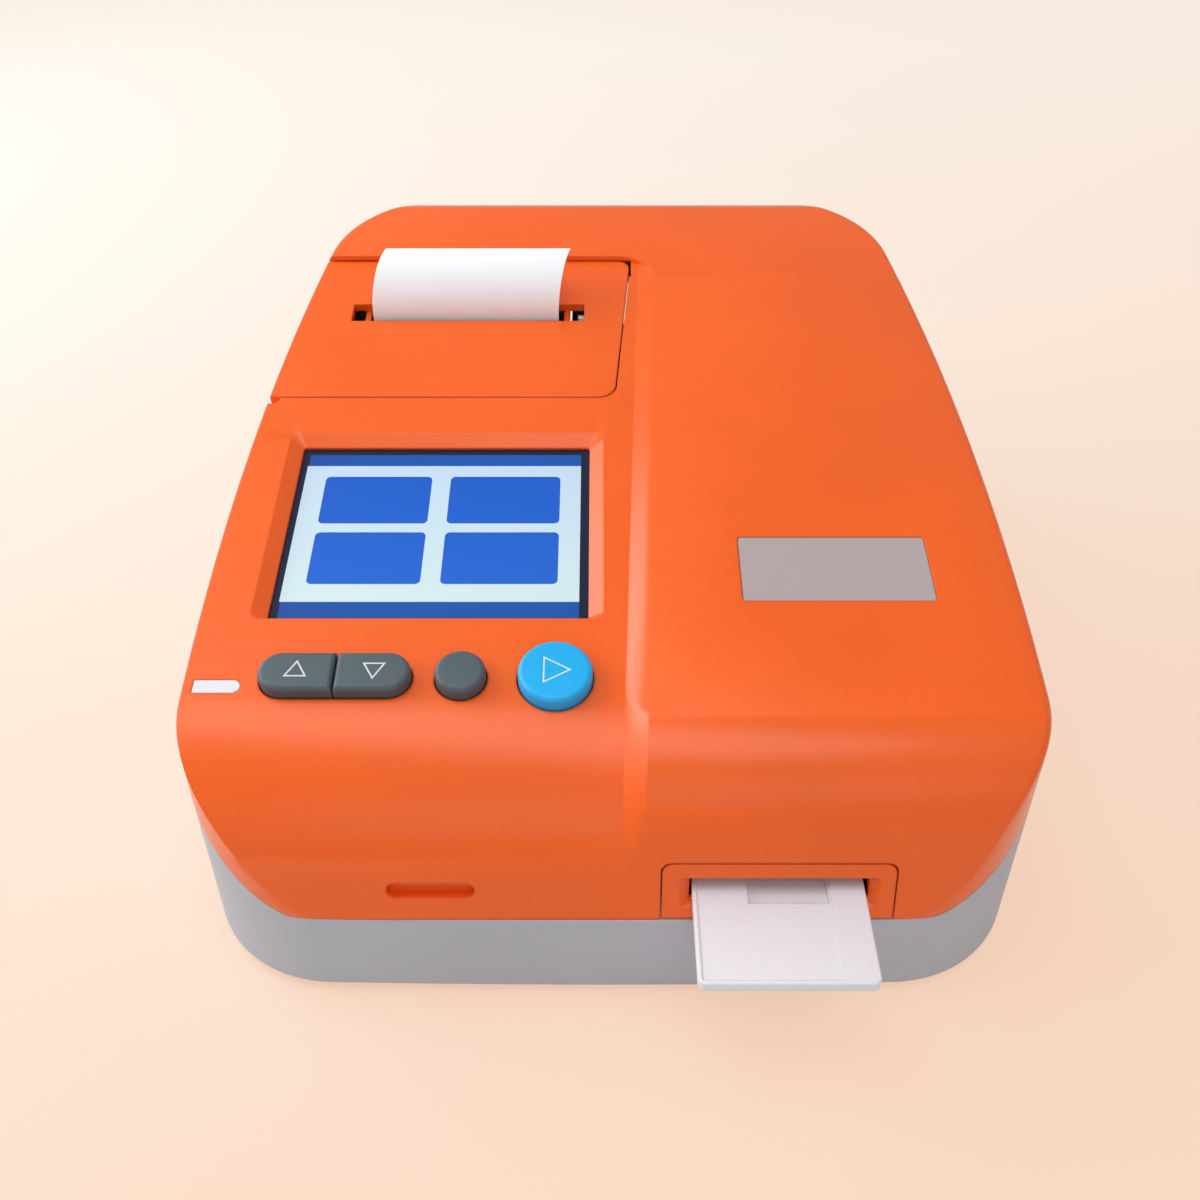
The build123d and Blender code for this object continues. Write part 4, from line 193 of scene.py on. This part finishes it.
def paper_stock(name, colour):
    """Thermal paper: faint fibre cloud on a matt surface."""
    material, tree, shader = blank_material(name)
    place = node(tree, "ShaderNodeTexCoord").outputs["Object"]
    fibre = node(tree, "ShaderNodeTexNoise", {"Vector": place, "Scale": 900.0, "Detail": 5.0}).outputs["Fac"]
    cloud = node(tree, "ShaderNodeTexNoise", {"Vector": place, "Scale": 60.0, "Detail": 3.0}).outputs["Fac"]
    tree.links.new(mix_colour(tree, cloud, scaled(colour, 0.97), scaled(colour, 1.02)),
                   shader.inputs["Base Color"])
    bump = node(tree, "ShaderNodeBump", {"Strength": 0.12, "Distance": FIBRE_DEPTH, "Height": fibre})
    tree.links.new(bump.outputs[0], shader.inputs["Normal"])
    shader.inputs["Roughness"].default_value = 0.6
    shader.inputs["Specular IOR Level"].default_value = 0.25
    return material


def rounded_patch(tree, place, left, right, low, high, radius):
    """1 inside a rounded rectangle on the panel, else 0. Sides in mm."""
    centre = Vector(((left + right) / 2, (low + high) / 2, 0)) * MM
    half = Vector(((right - left) / 2 - radius, (high - low) / 2 - radius, 0)) * MM
    off = node(tree, "ShaderNodeVectorMath", {0: place, 1: centre}, operation="SUBTRACT").outputs[0]
    size = node(tree, "ShaderNodeVectorMath", {0: off}, operation="ABSOLUTE").outputs[0]
    past = node(tree, "ShaderNodeVectorMath", {0: size, 1: half}, operation="SUBTRACT").outputs[0]
    kept = node(tree, "ShaderNodeVectorMath", {0: past, 1: (0, 0, 0)}, operation="MAXIMUM").outputs[0]
    length = node(tree, "ShaderNodeVectorMath", {0: kept}, operation="LENGTH").outputs["Value"]
    return node(tree, "ShaderNodeMath", {0: length, 1: radius * MM}, operation="LESS_THAN").outputs[0]


def screen_picture(name):
    """Lit screen: dark surround, blue bars above and below, pale field with rounded tiles."""
    material, tree, shader = blank_material(name)
    place = node(tree, "ShaderNodeTexCoord").outputs["Object"]
    turn = Euler((-LEFT_SLOPE, 0, 0))
    shift = -(turn.to_matrix() @ Vector((0, FRONT, LEFT_HEIGHT)))
    panel = node(tree, "ShaderNodeMapping", {"Vector": place, "Location": shift, "Rotation": turn}).outputs[0]
    flat = node(tree, "ShaderNodeVectorMath", {0: panel, 1: (1, 1, 0)}, operation="MULTIPLY").outputs[0]
    parts = node(tree, "ShaderNodeSeparateXYZ", {0: flat})
    across = node(tree, "ShaderNodeMapRange", {"Value": parts.outputs[0], "From Min": BARS_FADE[0],
                                               "From Max": BARS_FADE[1]}).outputs[0]
    up = node(tree, "ShaderNodeMapRange", {"Value": parts.outputs[1], "From Min": FIELD_FADE[0],
                                           "From Max": FIELD_FADE[1]}).outputs[0]
    bars = mix_colour(tree, across, linear(18, 76, 158), linear(14, 82, 168))
    field = mix_colour(tree, up, linear(204, 228, 230), linear(186, 210, 234))
    tiles = mix_colour(tree, up, linear(30, 100, 206), linear(14, 86, 192))
    shade = mix_colour(tree, rounded_patch(tree, flat, *SCREEN_AREA, SCREEN_CORNER), linear(14, 28, 56), bars)
    shade = mix_colour(tree, rounded_patch(tree, flat, *SCREEN_FIELD, SCREEN_CORNER), shade, field)
    for patch in SCREEN_TILES:
        shade = mix_colour(tree, rounded_patch(tree, flat, *patch, TILE_CORNER), shade, tiles)
    tree.links.new(shade, shader.inputs["Base Color"])
    tree.links.new(shade, shader.inputs["Emission Color"])
    shader.inputs["Emission Strength"].default_value = SCREEN_GLOW
    shader.inputs["Roughness"].default_value = 0.3
    shader.inputs["Specular IOR Level"].default_value = 0.35
    return material


def studio_floor(near):
    """Seamless studio paper: paler towards the back as painted light, and neutral in the light that it throws
    back.
    """
    material, tree, shader = blank_material("floor_paper")
    place = node(tree, "ShaderNodeTexCoord").outputs["Object"]
    back = node(tree, "ShaderNodeSeparateXYZ", {0: place}).outputs[1]
    # painted light: the floor's tone goes from the near colour to a paler one further back
    depth = node(tree, "ShaderNodeMapRange", {"Value": back, "From Min": FLOOR_PAINTED_FALLOFF[0],
                                              "From Max": FLOOR_PAINTED_FALLOFF[1]}).outputs[0]
    tone = mix_colour(tree, depth, near, linear(255, 250, 242))
    path = node(tree, "ShaderNodeLightPath")
    seen = node(tree, "ShaderNodeMath", {0: path.outputs["Is Camera Ray"], 1: path.outputs["Is Glossy Ray"]},
                operation="MAXIMUM").outputs[0]
    seen = node(tree, "ShaderNodeMath", {0: seen, 1: path.outputs["Is Transmission Ray"]},
                operation="MAXIMUM").outputs[0]
    lit = node(tree, "ShaderNodeVectorMath", {0: tone, 1: tuple(1 - share for share in FLOOR_GLOW)},
               operation="MULTIPLY").outputs[0]
    tree.links.new(mix_colour(tree, seen, linear(226, 226, 230), lit), shader.inputs["Base Color"])
    shader.inputs["Roughness"].default_value = 0.9
    shader.inputs["Specular IOR Level"].default_value = 0.0
    even = node(tree, "ShaderNodeVectorMath", {0: tone, 1: FLOOR_GLOW}, operation="MULTIPLY").outputs[0]
    glow = node(tree, "ShaderNodeEmission", {"Color": even, "Strength": seen}).outputs[0]
    both = node(tree, "ShaderNodeAddShader", {0: shader.outputs[0], 1: glow}).outputs[0]
    tree.links.new(both, tree.nodes["Material Output"].inputs["Surface"])
    return material


# material slot of the record: maker of its finish
FINISHES = {
    "orange": lambda: moulded("orange_housing", linear(248, 97, 3), 0.36, specular=0.32, coat=0.5,
                              edge=0.9 * MM),
    "tub_grey": lambda: moulded("grey_tub", linear(188, 188, 194), 0.5),
    "tray_white": lambda: moulded("white_drawer", linear(236, 236, 242), 0.38, relief=0.05, drift=0.02),
    "key_grey": lambda: moulded("grey_key", linear(76, 92, 100), 0.42, relief=0.08),
    "key_blue": lambda: moulded("blue_key", linear(0, 176, 244), 0.36, relief=0.06),
    "screen_glass": lambda: screen_picture("lit_screen"),
    "light_lens": lambda: moulded("light_lens", linear(230, 230, 236), 0.3, relief=0.03, drift=0.01),
    "plate_silver": lambda: moulded("plate_satin", linear(180, 167, 166), 0.45, relief=0.1, drift=0.03),
    "paper": lambda: paper_stock("thermal_paper", linear(248, 250, 255)),
    "foam": lambda: moulded("black_foam", linear(22, 22, 24), 0.9, relief=0.6),
    "black_plastic": lambda: moulded("black_plastic", linear(26, 26, 29), 0.5),
    "inner_grey": lambda: moulded("frame_plastic", linear(92, 96, 100), 0.55),
    "steel": lambda: brushed("zinc_steel", linear(196, 198, 202)),
    "board_green": lambda: moulded("solder_mask", linear(24, 92, 52), 0.35, relief=0.1, coat=0.3),
    "chip_black": lambda: moulded("chip_black", linear(24, 24, 26), 0.5),
    "roller_rubber": lambda: moulded("roller_rubber", linear(30, 30, 33), 0.7, relief=0.2),
    "gear_nylon": lambda: moulded("gear_nylon", linear(230, 226, 210), 0.4, relief=0.05),
    "card": lambda: moulded("card_tube", linear(186, 150, 108), 0.85, relief=0.4),
    "lens_clear": lambda: moulded("clear_lens", linear(214, 226, 232), 0.08, relief=0.0, drift=0.0),
    "brass": lambda: brushed("brass_standoff", linear(200, 168, 90)),
    "feet_rubber": lambda: moulded("rubber_feet", linear(28, 28, 30), 0.8, relief=0.3),
}
made_finishes = {}


def finish_of(slot):
    if slot not in made_finishes:
        made_finishes[slot] = FINISHES[slot]()
    return made_finishes[slot]


SLOTS = {s["node"]: s["material_slot"] for s in frame["record"]["subparts"]}
BODIES = {n: body for body, names in frame["record"]["behaviour"]["bodies"].items() for n in names}
# pieces whose curved surfaces show: shown by a merged, smoothly shaded copy
SMOOTH_PIECES = ("top_cover", "base_tub", "printer_door", "tray_bezel", "tray", "paper_strip", "key_up",
                 "key_down", "key_select", "key_start", "status_light", "rubber_feet", "paper_roll",
                 "platen_roller", "display_glass", "rating_plate", "power_rocker", "tear_bar")


def wear(piece, slot):
    """Gives a piece the finish of a material slot."""
    piece.data.materials.clear()
    piece.data.materials.append(finish_of(slot))


def new_piece(name, mesh, body, slot):
    """Mesh as a finished object that moves with a body."""
    piece = bpy.data.objects.new(name, mesh)
    bpy.context.scene.collection.objects.link(piece)
    wear(piece, slot)
    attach(piece, body)
    return piece


def smooth_copy(cad_node):
    """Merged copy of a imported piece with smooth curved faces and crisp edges."""
    shape = bmesh.new()
    shape.from_mesh(frame["nodes"][cad_node].data)
    bmesh.ops.remove_doubles(shape, verts=shape.verts, dist=MERGE_WITHIN)
    bmesh.ops.dissolve_degenerate(shape, edges=shape.edges, dist=DEGENERATE_BELOW)
    for face in shape.faces:
        face.smooth = True
    for edge in shape.edges:
        edge.smooth = len(edge.link_faces) == 2 and edge.calc_face_angle(0.0) < SMOOTH_BELOW
    mesh = bpy.data.meshes.new(cad_node + "_skin")
    shape.to_mesh(mesh)
    shape.free()
    piece = new_piece(cad_node + "_skin", mesh, BODIES[cad_node], SLOTS[cad_node])
    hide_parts(cad_node)
    return piece


# ---------------------------------------------------------------- sizes that a user would change
class ReaderFinish(bpy.types.PropertyGroup):
    """Sizes and colours of the added pieces"""
    mark_radius: bpy.props.FloatProperty(
        name="Mark radius", description="Size of the arrows on the small keys",
        default=3.3 * MM, subtype="DISTANCE")
    start_mark_radius: bpy.props.FloatProperty(
        name="Start mark radius", description="Size of the arrow on the start key",
        default=4.6 * MM, subtype="DISTANCE")
    mark_width: bpy.props.FloatProperty(
        name="Mark width", description="Width of the pale lines in the engraved arrows",
        default=0.42 * MM, subtype="DISTANCE")
    floor_colour: bpy.props.FloatVectorProperty(
        name="Floor colour", description="Colour of the pale floor near the camera",
        default=linear(251, 223, 202)[:3], subtype="COLOR", size=3)


class READER_OT_finish_nodes(bpy.types.Operator):
    """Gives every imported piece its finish"""
    bl_idname = "reader.finish_nodes"
    bl_label = "Finish packed pieces"

    def execute(self, context):
        for name, piece in frame["nodes"].items():
            wear(piece, SLOTS[name])
        return {"FINISHED"}


class READER_OT_smooth_skins(bpy.types.Operator):
    """Shows the curved pieces by smoothly shaded copies"""
    bl_idname = "reader.smooth_skins"
    bl_label = "Smooth the curved pieces"

    def execute(self, context):
        for name in SMOOTH_PIECES:
            smooth_copy(name)
        return {"FINISHED"}


class READER_OT_key_marks(bpy.types.Operator):
    """Pale lines in the engraved arrows on the keys"""
    bl_idname = "reader.key_marks"
    bl_label = "Key marks"

    def execute(self, context):
        sizes = context.scene.reader_finish
        line = moulded("mark_grey", linear(214, 220, 224), 0.6, relief=0.02, edge=MARK_EDGE, specular=0.2)
        pale = moulded("mark_blue", linear(196, 236, 252), 0.6, relief=0.02, edge=MARK_EDGE, specular=0.2)
        # name, body, place across and up the panel, radius, direction of the arrow in degrees, material
        marks = (("up_mark", "up_key", -74.6 * MM, KEY_ROW - MARK_SHIFT, sizes.mark_radius, 90, line),
                 ("down_mark", "down_key", -56.3 * MM, KEY_ROW + MARK_SHIFT, sizes.mark_radius, -90, line),
                 ("start_mark", "start_key", -14.1 * MM, KEY_ROW, sizes.start_mark_radius, 0, pale))
        for name, body, across, up, radius, turn, material in marks:
            shape = bmesh.new()
            bmesh.ops.create_circle(shape, cap_ends=True, segments=3, radius=radius - MARK_PLAY)
            turned = Matrix.Rotation(math.radians(turn - 90), 4, "Z")
            lift = Matrix.Translation((across, up, KEY_PROUD - MARK_DEPTH + MARK_LIFT))
            inner = bmesh.ops.inset_region(shape, faces=shape.faces[:], thickness=sizes.mark_width,
                                            use_boundary=True, use_even_offset=True)
            middle = [f for f in shape.faces if f not in inner["faces"]]
            bmesh.ops.delete(shape, geom=middle, context="FACES")
            grown = bmesh.ops.extrude_face_region(shape, geom=shape.faces[:])
            raised = [e for e in grown["geom"] if isinstance(e, bmesh.types.BMVert)]
            bmesh.ops.translate(shape, verts=raised, vec=(0, 0, MARK_DEPTH))
            bmesh.ops.recalc_face_normals(shape, faces=shape.faces)
            bmesh.ops.transform(shape, matrix=PANEL @ lift @ turned, verts=shape.verts)
            mesh = bpy.data.meshes.new(name)
            shape.to_mesh(mesh)
            shape.free()
            piece = new_piece(name, mesh, body, "key_grey")
            piece.data.materials[0] = material
        return {"FINISHED"}


class READER_OT_stage(bpy.types.Operator):
    """Pale floor, soft light and the photograph's camera"""
    bl_idname = "reader.stage"
    bl_label = "Stage"

    def execute(self, context):
        sizes = context.scene.reader_finish
        shape = bmesh.new()
        bmesh.ops.create_grid(shape, x_segments=1, y_segments=1, size=FLOOR_HALF_SIDE)
        mesh = bpy.data.meshes.new("floor")
        shape.to_mesh(mesh)
        shape.free()
        floor = bpy.data.objects.new("floor", mesh)
        context.scene.collection.objects.link(floor)
        floor.data.materials.append(studio_floor((*sizes.floor_colour, 1)))
        for name, place, size, power, tint in LAMPS:
            data = bpy.data.lights.new(name, "AREA")
            data.shape = "RECTANGLE"
            data.size, data.size_y = size
            data.energy = power
            data.color = tint
            lamp = bpy.data.objects.new(name, data)
            lamp.location = place
            lamp.rotation_euler = (LAMP_AIM - Vector(place)).to_track_quat("-Z", "Y").to_euler()
            context.scene.collection.objects.link(lamp)
        world = bpy.data.worlds.new("studio")
        world.use_nodes = True
        world.node_tree.nodes["Background"].inputs["Color"].default_value = WORLD_COLOUR
        world.node_tree.nodes["Background"].inputs["Strength"].default_value = WORLD_STRENGTH
        context.scene.world = world
        data = bpy.data.cameras.new("camera")
        data.lens = CAMERA_LENS
        data.sensor_width = CAMERA_SENSOR
        camera = bpy.data.objects.new("camera", data)
        camera.location = CAMERA_PLACE
        camera.rotation_euler = (CAMERA_TILT, 0, 0)
        context.scene.collection.objects.link(camera)
        context.scene.camera = camera
        context.scene.view_settings.view_transform = "Standard"
        return {"FINISHED"}


class READER_PT_panel(bpy.types.Panel):
    """Lists the steps that dress the reader"""
    bl_label = "Reader"
    bl_idname = "READER_PT_panel"
    bl_space_type = "VIEW_3D"
    bl_region_type = "UI"
    bl_category = "Reader"

    def draw(self, context):
        for name in ("mark_radius", "start_mark_radius", "mark_width", "floor_colour"):
            self.layout.prop(context.scene.reader_finish, name)
        for step in STEPS:
            self.layout.operator(step.bl_idname)


STEPS = (READER_OT_finish_nodes, READER_OT_smooth_skins, READER_OT_key_marks, READER_OT_stage)
CLASSES = (ReaderFinish, *STEPS, READER_PT_panel)


def register():
    for made in CLASSES:
        bpy.utils.register_class(made)
    bpy.types.Scene.reader_finish = bpy.props.PointerProperty(type=ReaderFinish)


def unregister():
    del bpy.types.Scene.reader_finish
    for made in reversed(CLASSES):
        bpy.utils.unregister_class(made)


def main():
    register()
    bpy.ops.reader.finish_nodes()
    bpy.ops.reader.smooth_skins()
    bpy.ops.reader.key_marks()
    bpy.ops.reader.stage()


if __name__ == "__main__":
    main()
